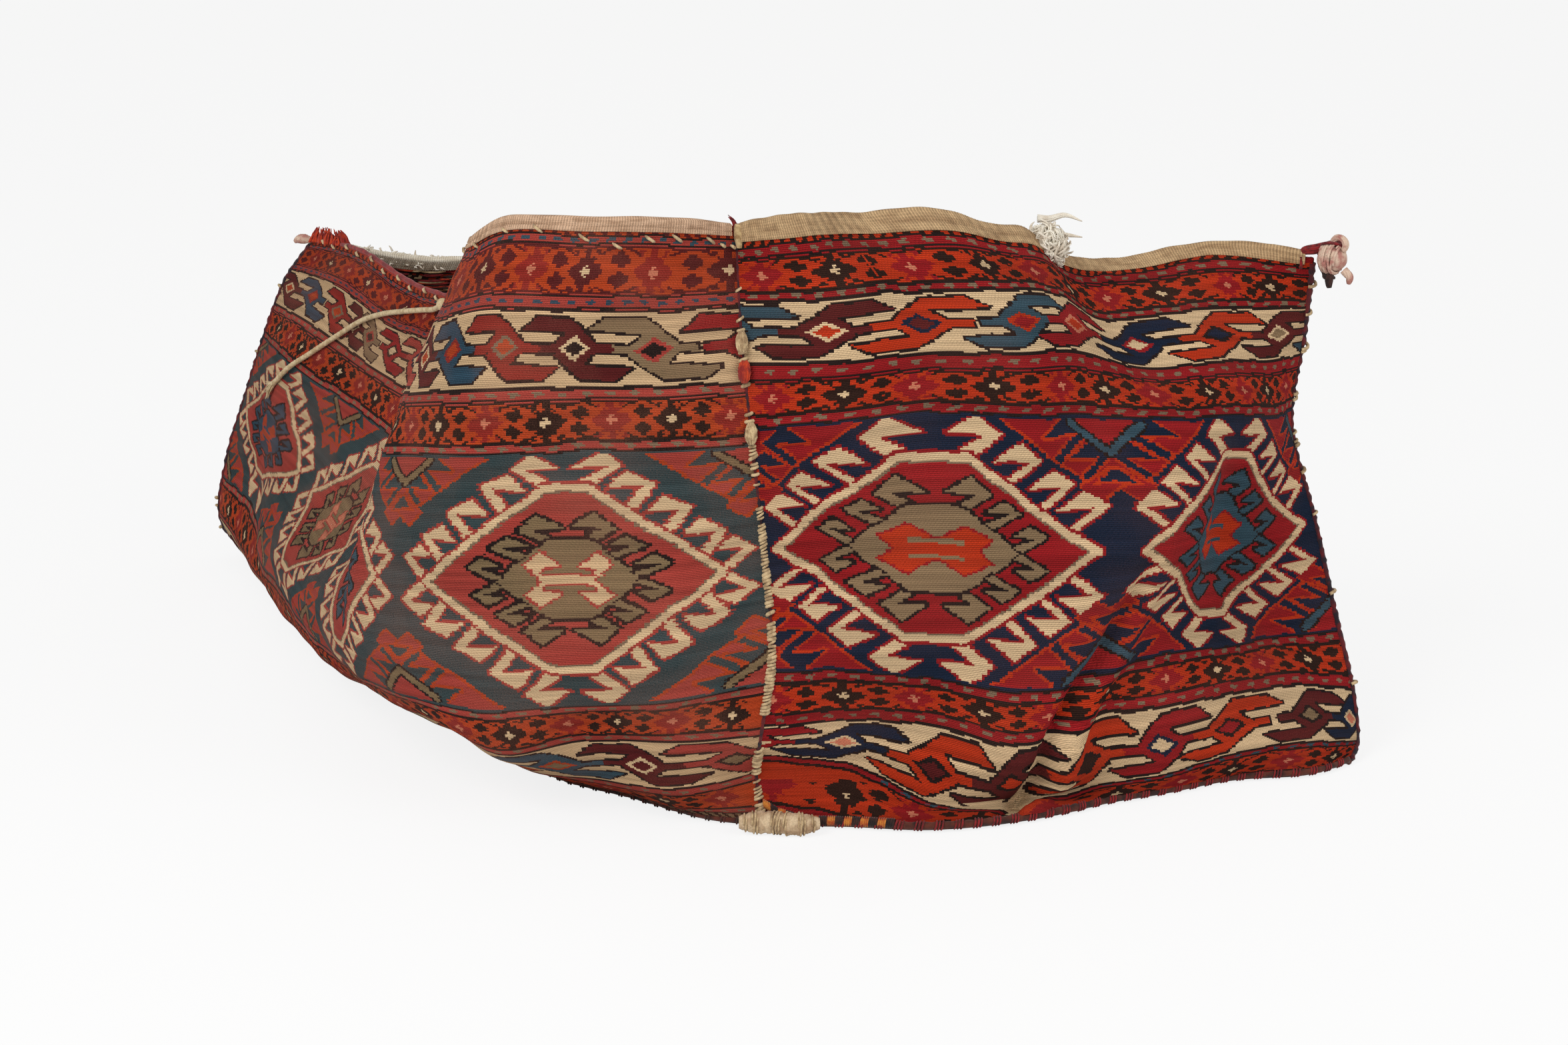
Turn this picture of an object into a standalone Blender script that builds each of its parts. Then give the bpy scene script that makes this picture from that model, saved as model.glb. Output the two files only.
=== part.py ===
"""Kilim bag: a box-shaped woven storage bag that stands open on its base.

Four flat-woven walls are sewn along four corner seams and to a plain base.
Each wall carries its own plain-weave hem at the rim. The cloth is soft, so the
walls are smooth sheets drawn through the places where the standing bag was seen.
Plan places are measured from the near bottom corner: +X right, +Y away, +Z up.
"""
import bpy
import bmesh
import math
import numpy as np
from mathutils import Vector, Matrix, noise

# Driving dimensions in metres
PLAN_SPREAD = 1.0
STAND_HEIGHT = 0.475
CLOTH_THICKNESS = 0.004
HEM_THICKNESS = 0.0065
LONG_HEM_HEIGHT = 0.010
END_HEM_HEIGHT = 0.0145
CORNER_SEAM_RADIUS = 0.0042
BASE_SEAM_RADIUS = 0.0045
BASE_THICKNESS = 0.004
GAP = 0.0003
SEWN_GAP = 0.0008
FAR_FOOT_GAP = 0.0016
TUFT_GAP = 0.0008

# Colours of the cloth and trimmings
MADDER_RED = (0.32, 0.03, 0.025, 1.0)
BRICK_RED = (0.36, 0.06, 0.035, 1.0)
HEM_BEIGE = (0.44, 0.29, 0.16, 1.0)
SEAM_CREAM = (0.55, 0.42, 0.26, 1.0)
COTTON_WHITE = (0.74, 0.69, 0.60, 1.0)
BASE_BROWN = (0.22, 0.12, 0.07, 1.0)
DARK_BROWN = (0.03, 0.018, 0.014, 1.0)
CORD_CREAM = (0.66, 0.55, 0.38, 1.0)

# Heights down the cloth, from rim to base, at which every wall is placed
ROW_SHARES = (0.0, 0.17, 0.33, 0.50, 0.66, 0.79, 0.89, 1.0)

# Long wall that faces front and left, from the near corner to the left corner:
# plan places are shares of PLAN_SPREAD, heights are shares of STAND_HEIGHT
LONG_COLUMN_SHARES = (0.0, 0.0625, 0.125, 0.1875, 0.25, 0.3125, 0.4, 0.5, 0.625, 0.75, 0.875, 1.0)
LONG_X_SHARES = (
    (-0.022, -0.070, -0.125, -0.183, -0.213, -0.222, -0.222, -0.208, -0.250, -0.303, -0.362, -0.420),
    (-0.018, -0.080, -0.145, -0.205, -0.243, -0.260, -0.258, -0.235, -0.276, -0.335, -0.395, -0.452),
    (-0.010, -0.075, -0.146, -0.216, -0.264, -0.290, -0.288, -0.285, -0.316, -0.368, -0.435, -0.476),
    (-0.001, -0.071, -0.146, -0.219, -0.275, -0.312, -0.322, -0.340, -0.370, -0.408, -0.462, -0.497),
    (0.004, -0.072, -0.140, -0.212, -0.275, -0.312, -0.345, -0.382, -0.418, -0.454, -0.474, -0.517),
    (-0.004, -0.074, -0.134, -0.200, -0.252, -0.284, -0.315, -0.358, -0.402, -0.445, -0.488, -0.526),
    (-0.008, -0.070, -0.124, -0.184, -0.228, -0.252, -0.275, -0.318, -0.365, -0.412, -0.462, -0.512),
    (-0.003, -0.050, -0.105, -0.163, -0.195, -0.212, -0.232, -0.264, -0.310, -0.360, -0.410, -0.462),
)
LONG_Y_SHARES = (
    (0.000, -0.038, -0.045, -0.002, 0.052, 0.115, 0.215, 0.318, 0.368, 0.470, 0.592, 0.720),
    (-0.005, -0.020, -0.038, -0.016, 0.036, 0.100, 0.195, 0.295, 0.405, 0.515, 0.640, 0.748),
    (-0.008, -0.018, -0.027, -0.020, 0.025, 0.086, 0.175, 0.280, 0.410, 0.530, 0.648, 0.762),
    (0.000, -0.022, -0.022, -0.012, 0.020, 0.076, 0.165, 0.275, 0.410, 0.543, 0.670, 0.770),
    (-0.020, -0.040, -0.028, -0.008, 0.032, 0.090, 0.180, 0.290, 0.425, 0.560, 0.690, 0.775),
    (-0.016, -0.022, 0.000, 0.014, 0.100, 0.152, 0.228, 0.310, 0.430, 0.548, 0.680, 0.776),
    (0.006, 0.000, 0.034, 0.082, 0.142, 0.184, 0.252, 0.332, 0.445, 0.556, 0.672, 0.780),
    (0.005, 0.022, 0.068, 0.112, 0.170, 0.212, 0.276, 0.360, 0.462, 0.565, 0.665, 0.765),
)
LONG_Z_SHARES = (
    (0.977, 1.000, 1.004, 0.990, 0.941, 0.910, 0.863, 0.775, 0.712, 0.690, 0.703, 0.672),
    (0.811, 0.808, 0.817, 0.806, 0.770, 0.737, 0.682, 0.602, 0.573, 0.564, 0.585, 0.579),
    (0.636, 0.632, 0.636, 0.623, 0.602, 0.568, 0.518, 0.446, 0.421, 0.434, 0.455, 0.459),
    (0.450, 0.444, 0.442, 0.432, 0.419, 0.392, 0.347, 0.303, 0.282, 0.286, 0.316, 0.333),
    (0.301, 0.280, 0.267, 0.248, 0.240, 0.219, 0.194, 0.180, 0.170, 0.166, 0.200, 0.206),
    (0.173, 0.166, 0.152, 0.122, 0.110, 0.100, 0.084, 0.066, 0.052, 0.050, 0.054, 0.088),
    (0.095, 0.072, 0.066, 0.046, 0.048, 0.052, 0.046, 0.034, 0.030, 0.027, 0.025, 0.032),
)

# End wall that faces right, from the near corner to the right corner
END_COLUMN_SHARES = (0.0, 0.125, 0.25, 0.375, 0.45, 0.5, 0.6, 0.75, 0.875, 1.0)
END_X_SHARES = (
    (-0.022, 0.020, 0.060, 0.128, 0.165, 0.188, 0.220, 0.282, 0.352, 0.430),
    (-0.018, 0.050, 0.117, 0.184, 0.216, 0.233, 0.266, 0.332, 0.386, 0.427),
    (-0.010, 0.048, 0.127, 0.197, 0.234, 0.257, 0.310, 0.364, 0.399, 0.420),
    (-0.001, 0.060, 0.130, 0.200, 0.240, 0.275, 0.318, 0.350, 0.392, 0.441),
    (0.004, 0.065, 0.132, 0.200, 0.238, 0.258, 0.298, 0.350, 0.392, 0.456),
    (-0.004, 0.065, 0.132, 0.196, 0.228, 0.248, 0.300, 0.368, 0.422, 0.468),
    (-0.008, 0.065, 0.132, 0.198, 0.238, 0.262, 0.312, 0.378, 0.436, 0.472),
    (-0.003, 0.060, 0.125, 0.192, 0.232, 0.258, 0.308, 0.370, 0.427, 0.466),
)
END_Y_SHARES = (
    (0.000, -0.028, 0.020, 0.050, 0.080, 0.100, 0.145, 0.200, 0.230, 0.222),
    (-0.005, -0.028, 0.010, 0.040, 0.064, 0.080, 0.118, 0.158, 0.202, 0.240),
    (-0.008, -0.024, 0.004, 0.032, 0.054, 0.065, 0.088, 0.138, 0.192, 0.245),
    (0.000, -0.025, 0.000, 0.024, 0.034, 0.038, 0.066, 0.145, 0.198, 0.238),
    (-0.020, -0.027, -0.005, 0.014, 0.025, 0.044, 0.076, 0.134, 0.182, 0.215),
    (-0.016, -0.006, 0.002, 0.012, 0.028, 0.046, 0.066, 0.104, 0.142, 0.182),
    (0.006, 0.010, 0.010, 0.031, 0.047, 0.058, 0.072, 0.110, 0.134, 0.172),
    (0.005, 0.003, -0.004, 0.014, 0.035, 0.053, 0.078, 0.112, 0.124, 0.156),
)
END_Z_SHARES = (
    (0.977, 1.002, 0.985, 0.981, 0.947, 0.933, 0.874, 0.842, 0.851, 0.838),
    (0.811, 0.821, 0.817, 0.804, 0.796, 0.783, 0.733, 0.720, 0.699, 0.695),
    (0.636, 0.657, 0.661, 0.642, 0.632, 0.625, 0.611, 0.589, 0.564, 0.547),
    (0.450, 0.476, 0.467, 0.450, 0.446, 0.444, 0.442, 0.411, 0.385, 0.379),
    (0.301, 0.307, 0.291, 0.269, 0.269, 0.282, 0.282, 0.253, 0.236, 0.236),
    (0.173, 0.185, 0.158, 0.118, 0.130, 0.145, 0.146, 0.155, 0.144, 0.115),
    (0.095, 0.092, 0.048, 0.041, 0.047, 0.053, 0.058, 0.062, 0.060, 0.038),
)

# Far corner seam, hidden behind the bag
BACK_CORNER_X_SHARES = (0.030, 0.042, 0.050, 0.054, 0.052, 0.045, 0.036, 0.025)
BACK_CORNER_Y_SHARES = (0.880, 0.905, 0.925, 0.935, 0.935, 0.920, 0.905, 0.870)
BACK_CORNER_Z_SHARES = (0.632, 0.537, 0.432, 0.326, 0.221, 0.126, 0.053)

# The two far walls hang between their corner seams in a few broad folds:
# outward swing and rim sag of each column, and how the swing fades down the wall
FAR_LONG_COLUMN_SHARES = (0.0, 0.125, 0.25, 0.375, 0.5, 0.625, 0.75, 0.875, 1.0)
FAR_LONG_SWING_SHARES = (0.0, 0.025, -0.030, -0.080, -0.030, 0.050, 0.080, 0.030, 0.0)
FAR_LONG_SAG_SHARES = (0.0, 0.06, 0.075, 0.065, 0.06, 0.06, 0.04, 0.02, 0.0)
FAR_END_COLUMN_SHARES = (0.0, 0.25, 0.5, 0.75, 1.0)
FAR_END_SWING_SHARES = (0.0, 0.045, 0.012, 0.022, 0.0)
FAR_END_SAG_SHARES = (0.0, 0.063, 0.032, 0.006, 0.0)
SWING_ROW_SHARES = (1.0, 1.0, 1.05, 1.1, 1.1, 1.0, 0.9, 0.85)

# Mesh fineness
LONG_STEPS = 44
END_STEPS = 28
FAR_LONG_STEPS = 32
FAR_END_STEPS = 15
DOWN_STEPS = 14
HEM_DOWN_STEPS = 2

# Base cloth and the corner roll of spare base cloth at the near bottom corner
ROLL_RADIUS = 0.0085
ROLL_ROUTE_SHARES = ((-0.021, -0.008), (0.002, -0.0080), (0.022, -0.0120), (0.040, -0.0105))
ROLL_GIRTH_SHARES = (0.55, 0.85, 1.0, 1.0, 0.92, 1.0, 1.0, 0.8, 0.5)
FLOOR_CLEARANCE = 0.0008

# Leftover cotton tie cord on the long wall: route as shares along and down the wall
CORD_RADIUS = 0.0023
CORD_POINTS = 27
CORD_ROUTE_SHARES = (
    (0.655, 0.022), (0.675, 0.040), (0.700, 0.052), (0.735, 0.075), (0.770, 0.110),
    (0.800, 0.165), (0.820, 0.220), (0.845, 0.285), (0.868, 0.335), (0.885, 0.385),
)
TIE_KNOT_RADIUS = 0.0048
TIE_LOOP_RADIUS = 0.0055
TIE_LOOP_WIRE = 0.0014
TIE_END_LENGTH = 0.020
TIE_END_SPREAD = 0.0085

# Cotton tuft knotted through the rim of the right-hand end wall
TUFT_PLACE_SHARE = 0.56
TUFT_SIZE = (0.024, 0.016, 0.020)
TUFT_RISE = 0.005
TUFT_FORWARD = 0.005
TUFT_SEAT_WIDTH_SHARE = 0.08
TUFT_SEAT_DOWN_SHARES = (-0.002, 0.12)
HORN_RADIUS = 0.0036
HORN_LENGTH = 0.022
HORN_GIRTH_SHARES = (1.0, 0.9, 0.8, 0.68, 0.55, 0.38, 0.2)

# Knot and tassel of yarn ends at the top of the right corner seam
KNOT_RADIUS = 0.0125
KNOT_RISE = 0.0015
TASSEL_YARN_RADIUS = 0.0034
LOOP_BULGE = 0.011
HOOK_LENGTH = 0.018
DARK_END_LENGTH = 0.013
TASSEL_GIRTH_SHARES = (1.0, 1.0, 1.0, 0.95, 0.85, 0.75, 0.55)

# Small yarn ends on the rim
TIP_HEIGHT = 0.011
TIP_RADIUS = 0.0028
LEFT_TIP_PLACE_SHARES = (0.915, 0.94, 0.96, 0.982)
LEFT_KNOB_RADIUS = 0.0056
LEFT_KNOB_LENGTH = 0.014
LEFT_KNOB_CLEAR = 0.0057
LEFT_KNOB_GIRTH_SHARES = (0.8, 1.0, 1.0, 0.9, 0.5)
SEAM_LUMP_ROW_SHARES = (0.180, 0.222, 0.310)
SEAM_LUMP_SIZE = (0.0045, 0.0028, 0.0085)

# Where the resting face's middle lies, from the near bottom corner
BASE_MIDDLE_X_SHARE = -0.02
BASE_MIDDLE_Y_SHARE = 0.42


def spline_weights(knots, places):
    """Weights that carry values at uneven knots to a smooth curve through them."""
    knots = np.asarray(knots, dtype=float)
    values = np.eye(len(knots))
    slopes = np.zeros_like(values)
    spans = np.diff(knots)
    chords = np.diff(values, axis=0) / spans[:, None]
    slopes[0] = chords[0]
    slopes[-1] = chords[-1]
    for i in range(1, len(knots) - 1):
        before = spans[i - 1]
        after = spans[i]
        slopes[i] = (chords[i - 1] * after + chords[i] * before) / (before + after)
    rows = []
    for place in places:
        i = int(np.clip(np.searchsorted(knots, place, side='right') - 1, 0, len(knots) - 2))
        s = (place - knots[i]) / spans[i]
        start = 2 * s ** 3 - 3 * s ** 2 + 1
        lead = s ** 3 - 2 * s ** 2 + s
        trail = s ** 3 - s ** 2
        rows.append(start * values[i] + lead * spans[i] * slopes[i]
                    + (1 - start) * values[i + 1] + trail * spans[i] * slopes[i + 1])
    return np.array(rows)


class Wall:
    """One woven wall as a smooth sheet through a cage of places."""

    def __init__(self, column_shares, cage, turn=1):
        self.columns = column_shares
        self.cage = cage
        self.turn = turn

    def points(self, across, down):
        """Places at paired shares across and down the wall."""
        over = spline_weights(self.columns, across)
        below = spline_weights(ROW_SHARES, down)
        return np.einsum('nr,rck,nc->nk', below, self.cage, over)

    def point(self, across, down):
        return Vector(self.points([across], [down])[0])

    def frame_at(self, across, down):
        """Place, direction along the wall, direction down it and outward normal."""
        step = 0.004
        here = self.point(across, down)
        low = max(across - step, 0.0)
        high = min(across + step, 1.0)
        along = (self.point(high, down) - self.point(low, down)).normalized()
        top = max(down - step, 0.0)
        bottom = min(down + step, 1.0)
        below = (self.point(across, bottom) - self.point(across, top)).normalized()
        return here, along, below, below.cross(along).normalized() * self.turn

    def backwards(self):
        """The same wall counted from its other end."""
        columns = tuple(1 - share for share in reversed(self.columns))
        return Wall(columns, self.cage[:, ::-1], -self.turn)


def cage_from(x_shares, y_shares, z_shares):
    """Cage of places; the last row lies along the base seam."""
    x = np.array(x_shares) * PLAN_SPREAD
    y = np.array(y_shares) * PLAN_SPREAD
    z = np.array(z_shares) * STAND_HEIGHT
    seam_row = np.full((1, z.shape[1]), BASE_SEAM_RADIUS + 2 * GAP)
    return np.stack([x, y, np.vstack([z, seam_row])], axis=-1)


def hanging_cage(start_column, end_column, column_shares, swing_shares, sag_shares):
    """Cage of a far wall that hangs between two corner seams in broad folds."""
    cage = np.zeros((len(ROW_SHARES), len(column_shares), 3))
    for r, down in enumerate(ROW_SHARES):
        start = start_column[r]
        end = end_column[r]
        run = end - start
        outward = np.array([run[1], -run[0], 0.0]) / np.hypot(run[0], run[1])
        for c, across in enumerate(column_shares):
            swing = swing_shares[c] * SWING_ROW_SHARES[r] * PLAN_SPREAD
            sag = sag_shares[c] * (1 - down) * STAND_HEIGHT
            place = start + run * across + outward * swing
            place[2] = place[2] - sag
            cage[r, c] = place
    return cage


def material(name, colour, roughness=0.9):
    mat = bpy.data.materials.new(name)
    mat.use_nodes = True
    shader = mat.node_tree.nodes['Principled BSDF']
    shader.inputs['Base Color'].default_value = colour
    shader.inputs['Roughness'].default_value = roughness
    shader.inputs['Metallic'].default_value = 0.0
    mat.diffuse_color = colour
    return mat


def add_object(name, data, mat, bag):
    data.materials.append(mat)
    obj = bpy.data.objects.new(name, data)
    bag['pieces'].objects.link(obj)
    obj.parent = bag['empty']
    return obj


def solidify(obj, thickness):
    shell = obj.modifiers.new('Cloth thickness', 'SOLIDIFY')
    shell.thickness = thickness
    shell.offset = 0.0
    shell.use_even_offset = True
    return shell


def sheet(name, wall, steps, down_steps, trims, thickness, mat, bag):
    """A grid laid on a wall between lengths trimmed from its start, end, top and bottom.

    A fifth trim, if there is one, puts the lower edge at that length below the rim.
    """
    mesh = bpy.data.meshes.new(name)
    grid = bmesh.new()
    bmesh.ops.create_grid(grid, x_segments=steps, y_segments=down_steps, size=1.0)
    grid.verts.ensure_lookup_table()
    shares = np.array([[vert.co.x * 0.5 + 0.5, 0.5 - vert.co.y * 0.5] for vert in grid.verts])
    across = shares[:, 0].copy()
    down = shares[:, 1].copy()
    for _ in range(3):
        across, down = trimmed(wall, shares, across, down, trims)
    places = wall.points(across, down)
    for vert, place in zip(grid.verts, places):
        vert.co = Vector(place)
    bmesh.ops.recalc_face_normals(grid, faces=grid.faces)
    grid.to_mesh(mesh)
    grid.free()
    for poly in mesh.polygons:
        poly.use_smooth = True
    obj = add_object(name, mesh, mat, bag)
    solidify(obj, thickness)
    return obj


def crossing_speed(wall, across, down, cross, edge):
    """Length of cloth per share when an edge is crossed square to its own direction."""
    here = wall.points(across, down)
    crossed = (wall.points(across + cross[0], down + cross[1]) - here) / (abs(cross[0]) + abs(cross[1]))
    run = wall.points(across + edge[0], down + edge[1]) - here
    run = run / np.linalg.norm(run, axis=1)[:, None]
    return np.linalg.norm(np.cross(crossed, run), axis=1)


def trimmed(wall, shares, across, down, trims):
    """Shares moved in from the wall's edges by lengths measured on the cloth."""
    start, end, top, bottom = trims[:4]
    step = 0.01
    zero = np.zeros(len(shares))
    one = np.ones(len(shares))
    along = np.where(across > 0.5, -step, step)
    below = np.where(down > 0.5, -step, step)
    first = crossing_speed(wall, zero, down, (step, 0.0), (0.0, below))
    last = crossing_speed(wall, one, down, (-step, 0.0), (0.0, below))
    upper = crossing_speed(wall, across, zero, (0.0, step), (along, 0.0))
    lower = crossing_speed(wall, across, one, (0.0, -step), (along, 0.0))
    left = start / first
    right = 1 - end / last
    high = top / upper
    low = 1 - bottom / lower
    if len(trims) > 4:
        low = trims[4] / upper
    return left + (right - left) * shares[:, 0], high + (low - high) * shares[:, 1]


def tube(name, points, radius, mat, bag, radii=None, resolution=2, cyclic=False):
    curve = bpy.data.curves.new(name, 'CURVE')
    curve.dimensions = '3D'
    curve.bevel_depth = radius
    curve.bevel_resolution = resolution
    curve.use_fill_caps = not cyclic
    line = curve.splines.new('POLY')
    line.points.add(len(points) - 1)
    for i, place in enumerate(points):
        line.points[i].co = (*place, 1.0)
        line.points[i].radius = radii[i] if radii else 1.0
    line.use_cyclic_u = cyclic
    line.use_smooth = True
    return add_object(name, curve, mat, bag)


def smooth_route(places, count):
    """Evenly spaced points on a smooth curve through a route's own points."""
    route = np.array([list(place) for place in places])
    lengths = np.linalg.norm(np.diff(route, axis=0), axis=1)
    knots = np.concatenate([[0.0], np.cumsum(lengths)])
    return spline_weights(knots, np.linspace(0.0, knots[-1], count)) @ route


def blob(name, size, rough_share, mat, bag, subdivisions=2):
    """A soft lump: an icosphere pushed in and out by smooth noise."""
    mesh = bpy.data.meshes.new(name)
    lump = bmesh.new()
    bmesh.ops.create_icosphere(lump, subdivisions=subdivisions, radius=1.0)
    for vert in lump.verts:
        push = 1 + rough_share * noise.noise(vert.co * 2.3 + Vector((len(name), 0.0, 0.0)))
        vert.co = Vector((vert.co.x * size[0], vert.co.y * size[1], vert.co.z * size[2])) * push
    lump.to_mesh(mesh)
    lump.free()
    for poly in mesh.polygons:
        poly.use_smooth = True
    return add_object(name, mesh, mat, bag)


def tapered_tip(name, foot, direction, radius, height, mat, bag):
    """A short pointed yarn end standing on its foot."""
    mesh = bpy.data.meshes.new(name)
    cone = bmesh.new()
    bmesh.ops.create_cone(cone, cap_ends=True, segments=8, radius1=radius, radius2=radius * 0.18,
                          depth=height)
    bmesh.ops.translate(cone, verts=cone.verts, vec=(0.0, 0.0, height / 2))
    cone.to_mesh(mesh)
    cone.free()
    obj = add_object(name, mesh, mat, bag)
    obj.rotation_euler = direction.to_track_quat('Z', 'Y').to_euler()
    obj.location = foot
    return obj


def corner_seam(name, wall, mat, bag):
    """Overcast cord that joins two walls down the first edge of one of them."""
    rows = np.linspace(0.0, 1.0, DOWN_STEPS + 1)
    shares = np.stack([np.zeros(len(rows)), rows], axis=-1)
    edges = (0.0, 0.0, LONG_HEM_HEIGHT + SEWN_GAP, BASE_SEAM_RADIUS + SEWN_GAP)
    _, down = trimmed(wall, shares, shares[:, 0], rows, edges)
    down = np.concatenate([[0.0], down, [1.0]])
    points = wall.points(np.zeros(len(down)), down)
    return tube(name, points, CORNER_SEAM_RADIUS, mat, bag)


def base_seam(name, wall, mat, bag, steps):
    """Rolled seam cord between one wall and the base, clear of the corners."""
    side = CORNER_SEAM_RADIUS + SEWN_GAP
    shares = np.stack([np.linspace(0.0, 1.0, steps + 1), np.ones(steps + 1)], axis=-1)
    foot = (side, side, 0.0, BASE_SEAM_RADIUS + SEWN_GAP)
    across, _ = trimmed(wall, shares, shares[:, 0], shares[:, 1], foot)
    points = wall.points(across, shares[:, 1])
    clear = 2.2 * BASE_SEAM_RADIUS
    from_start = np.linalg.norm(points - wall.points([0.0], [1.0]), axis=1)
    from_end = np.linalg.norm(points - wall.points([1.0], [1.0]), axis=1)
    return tube(name, points[(from_start > clear) & (from_end > clear)], BASE_SEAM_RADIUS, mat, bag)


def base_panel(walls, mat, bag):
    """Flat base cloth just inside the base seam cords."""
    inset = BASE_SEAM_RADIUS + SEWN_GAP
    outline = []
    for wall, steps in walls:
        outline.extend(wall.points(np.linspace(0.0, 1.0, steps), np.ones(steps))[:-1, :2])
    outline = np.array(outline)
    after = np.roll(outline, -1, axis=0) - outline
    before = outline - np.roll(outline, 1, axis=0)
    tangent = after / np.linalg.norm(after, axis=1)[:, None]
    tangent = tangent + before / np.linalg.norm(before, axis=1)[:, None]
    length = np.linalg.norm(tangent, axis=1)
    unit = tangent / length[:, None]
    inward = np.stack([-unit[:, 1], unit[:, 0]], axis=-1)
    corner_stretch = 2 / np.maximum(length, 0.8)
    outline = outline + inward * (inset * corner_stretch)[:, None]
    curve = bpy.data.curves.new('base_panel', 'CURVE')
    curve.dimensions = '2D'
    curve.fill_mode = 'BOTH'
    curve.extrude = BASE_THICKNESS / 2
    line = curve.splines.new('POLY')
    line.points.add(len(outline) - 1)
    for i, place in enumerate(outline):
        line.points[i].co = (place[0], place[1], 0.0, 1.0)
    line.use_cyclic_u = True
    panel = add_object('base_panel', curve, mat, bag)
    panel.location = (0.0, 0.0, BASE_THICKNESS / 2)
    return panel


def cut(obj, cutter):
    trim = obj.modifiers.new('Seat', 'BOOLEAN')
    trim.operation = 'DIFFERENCE'
    trim.solver = 'EXACT'
    trim.object = cutter


def seat_cutter(name, wall, across_range, down_range, thickness, mat, bag):
    """A stretch of wall, thicker by the gap on each side, that seats a lump on the cloth."""
    mesh = bpy.data.meshes.new(name)
    grid = bmesh.new()
    bmesh.ops.create_grid(grid, x_segments=12, y_segments=6, size=1.0)
    width = across_range[1] - across_range[0]
    height = down_range[1] - down_range[0]
    across = [across_range[0] + (vert.co.x * 0.5 + 0.5) * width for vert in grid.verts]
    down = [down_range[0] + (0.5 - vert.co.y * 0.5) * height for vert in grid.verts]
    for vert, place in zip(grid.verts, wall.points(across, down)):
        vert.co = Vector(place)
    bmesh.ops.recalc_face_normals(grid, faces=grid.faces)
    grid.to_mesh(mesh)
    grid.free()
    mesh.materials.append(mat)
    cutter = bpy.data.objects.new(name, mesh)
    bag['cutters'].objects.link(cutter)
    cutter.parent = bag['empty']
    cutter.hide_render = True
    cutter.display_type = 'WIRE'
    solidify(cutter, thickness + 2 * TUFT_GAP)
    return cutter


def cotton_tuft(wall, mat, bag):
    """Knotted cotton hooked over the rim hem, with two loose horns."""
    here, along, below, outward = wall.frame_at(TUFT_PLACE_SHARE, 0.0)
    up = Vector((0.0, 0.0, 1.0))
    outward = Vector((outward.x, outward.y, 0.0)).normalized()
    side = outward.cross(up)
    centre = here + outward * TUFT_FORWARD + up * TUFT_RISE
    tuft = blob('cotton_tuft', TUFT_SIZE, 0.3, mat, bag, subdivisions=3)
    turn = Matrix((side, outward, side.cross(outward))).transposed()
    tuft.rotation_euler = turn.to_euler()
    tuft.location = centre
    seat_range = (TUFT_PLACE_SHARE - TUFT_SEAT_WIDTH_SHARE, TUFT_PLACE_SHARE + TUFT_SEAT_WIDTH_SHARE)
    cutter = seat_cutter('tuft_seat_cutter', wall, seat_range, TUFT_SEAT_DOWN_SHARES,
                         HEM_THICKNESS, mat, bag)
    cut(tuft, cutter)
    right = -side if side.x < 0 else side
    horns = (('cotton_horn_upper', 0.92, 0.5, 0.1, 0.25), ('cotton_horn_lower', 1.15, -0.15, 0.35, 0.0))
    for name, reach, lift, rise, arch in horns:
        root = centre + right * TUFT_SIZE[0] * reach + up * TUFT_SIZE[2] * lift
        tip = root + right * HORN_LENGTH + up * HORN_LENGTH * rise
        middle = (root + tip) / 2 + up * HORN_LENGTH * arch
        tube(name, smooth_route((root, middle, tip), len(HORN_GIRTH_SHARES)), HORN_RADIUS, mat, bag,
             radii=HORN_GIRTH_SHARES)


def corner_knot(corner, outward, mat, dark, bag):
    """Wrapped yarn knot outside the right corner, its loop, and the tassel that swings on it."""
    up = Vector((0.0, 0.0, 1.0))
    reach = CORNER_SEAM_RADIUS + GAP + KNOT_RADIUS
    centre = corner + outward * reach + up * KNOT_RISE
    knot = blob('right_corner_knot', (KNOT_RADIUS,) * 3, 0.0, mat, bag, subdivisions=3)
    knot.location = centre
    start = KNOT_RADIUS + 2 * GAP
    arch = []
    for i in range(11):
        t = i / 10
        angle = math.radians(95 - 80 * t * t * (3 - 2 * t))
        reach = start + LOOP_BULGE * math.sin(math.pi * t)
        arch.append(centre + outward * math.cos(angle) * reach + up * math.sin(angle) * reach)
    tube('corner_knot_loop', arch, TASSEL_YARN_RADIUS, mat, bag)
    pivot = bpy.data.objects.new('tassel_pivot', None)
    bag['pieces'].objects.link(pivot)
    pivot.parent = bag['empty']
    pivot.location = centre
    side = outward.cross(up)
    ends = (
        ('tassel_hook', mat, math.radians(-38), HOOK_LENGTH, 0.35, side * -0.16),
        ('tassel_dark_end', dark, math.radians(-80), DARK_END_LENGTH, -0.1, side * 0.34),
    )
    for name, yarn, angle, length, curl, lean in ends:
        aim = (outward * math.cos(angle) + up * math.sin(angle) + lean).normalized()
        root = aim * start
        middle = aim * (start + length * 0.55) - up * length * 0.08
        tip = aim * (start + length * 0.8) - up * length * 0.35 - outward * length * curl
        route = smooth_route((root, middle, tip), len(TASSEL_GIRTH_SHARES))
        piece = tube(name, route, TASSEL_YARN_RADIUS, yarn, bag, radii=TASSEL_GIRTH_SHARES)
        piece.parent = pivot


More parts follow.
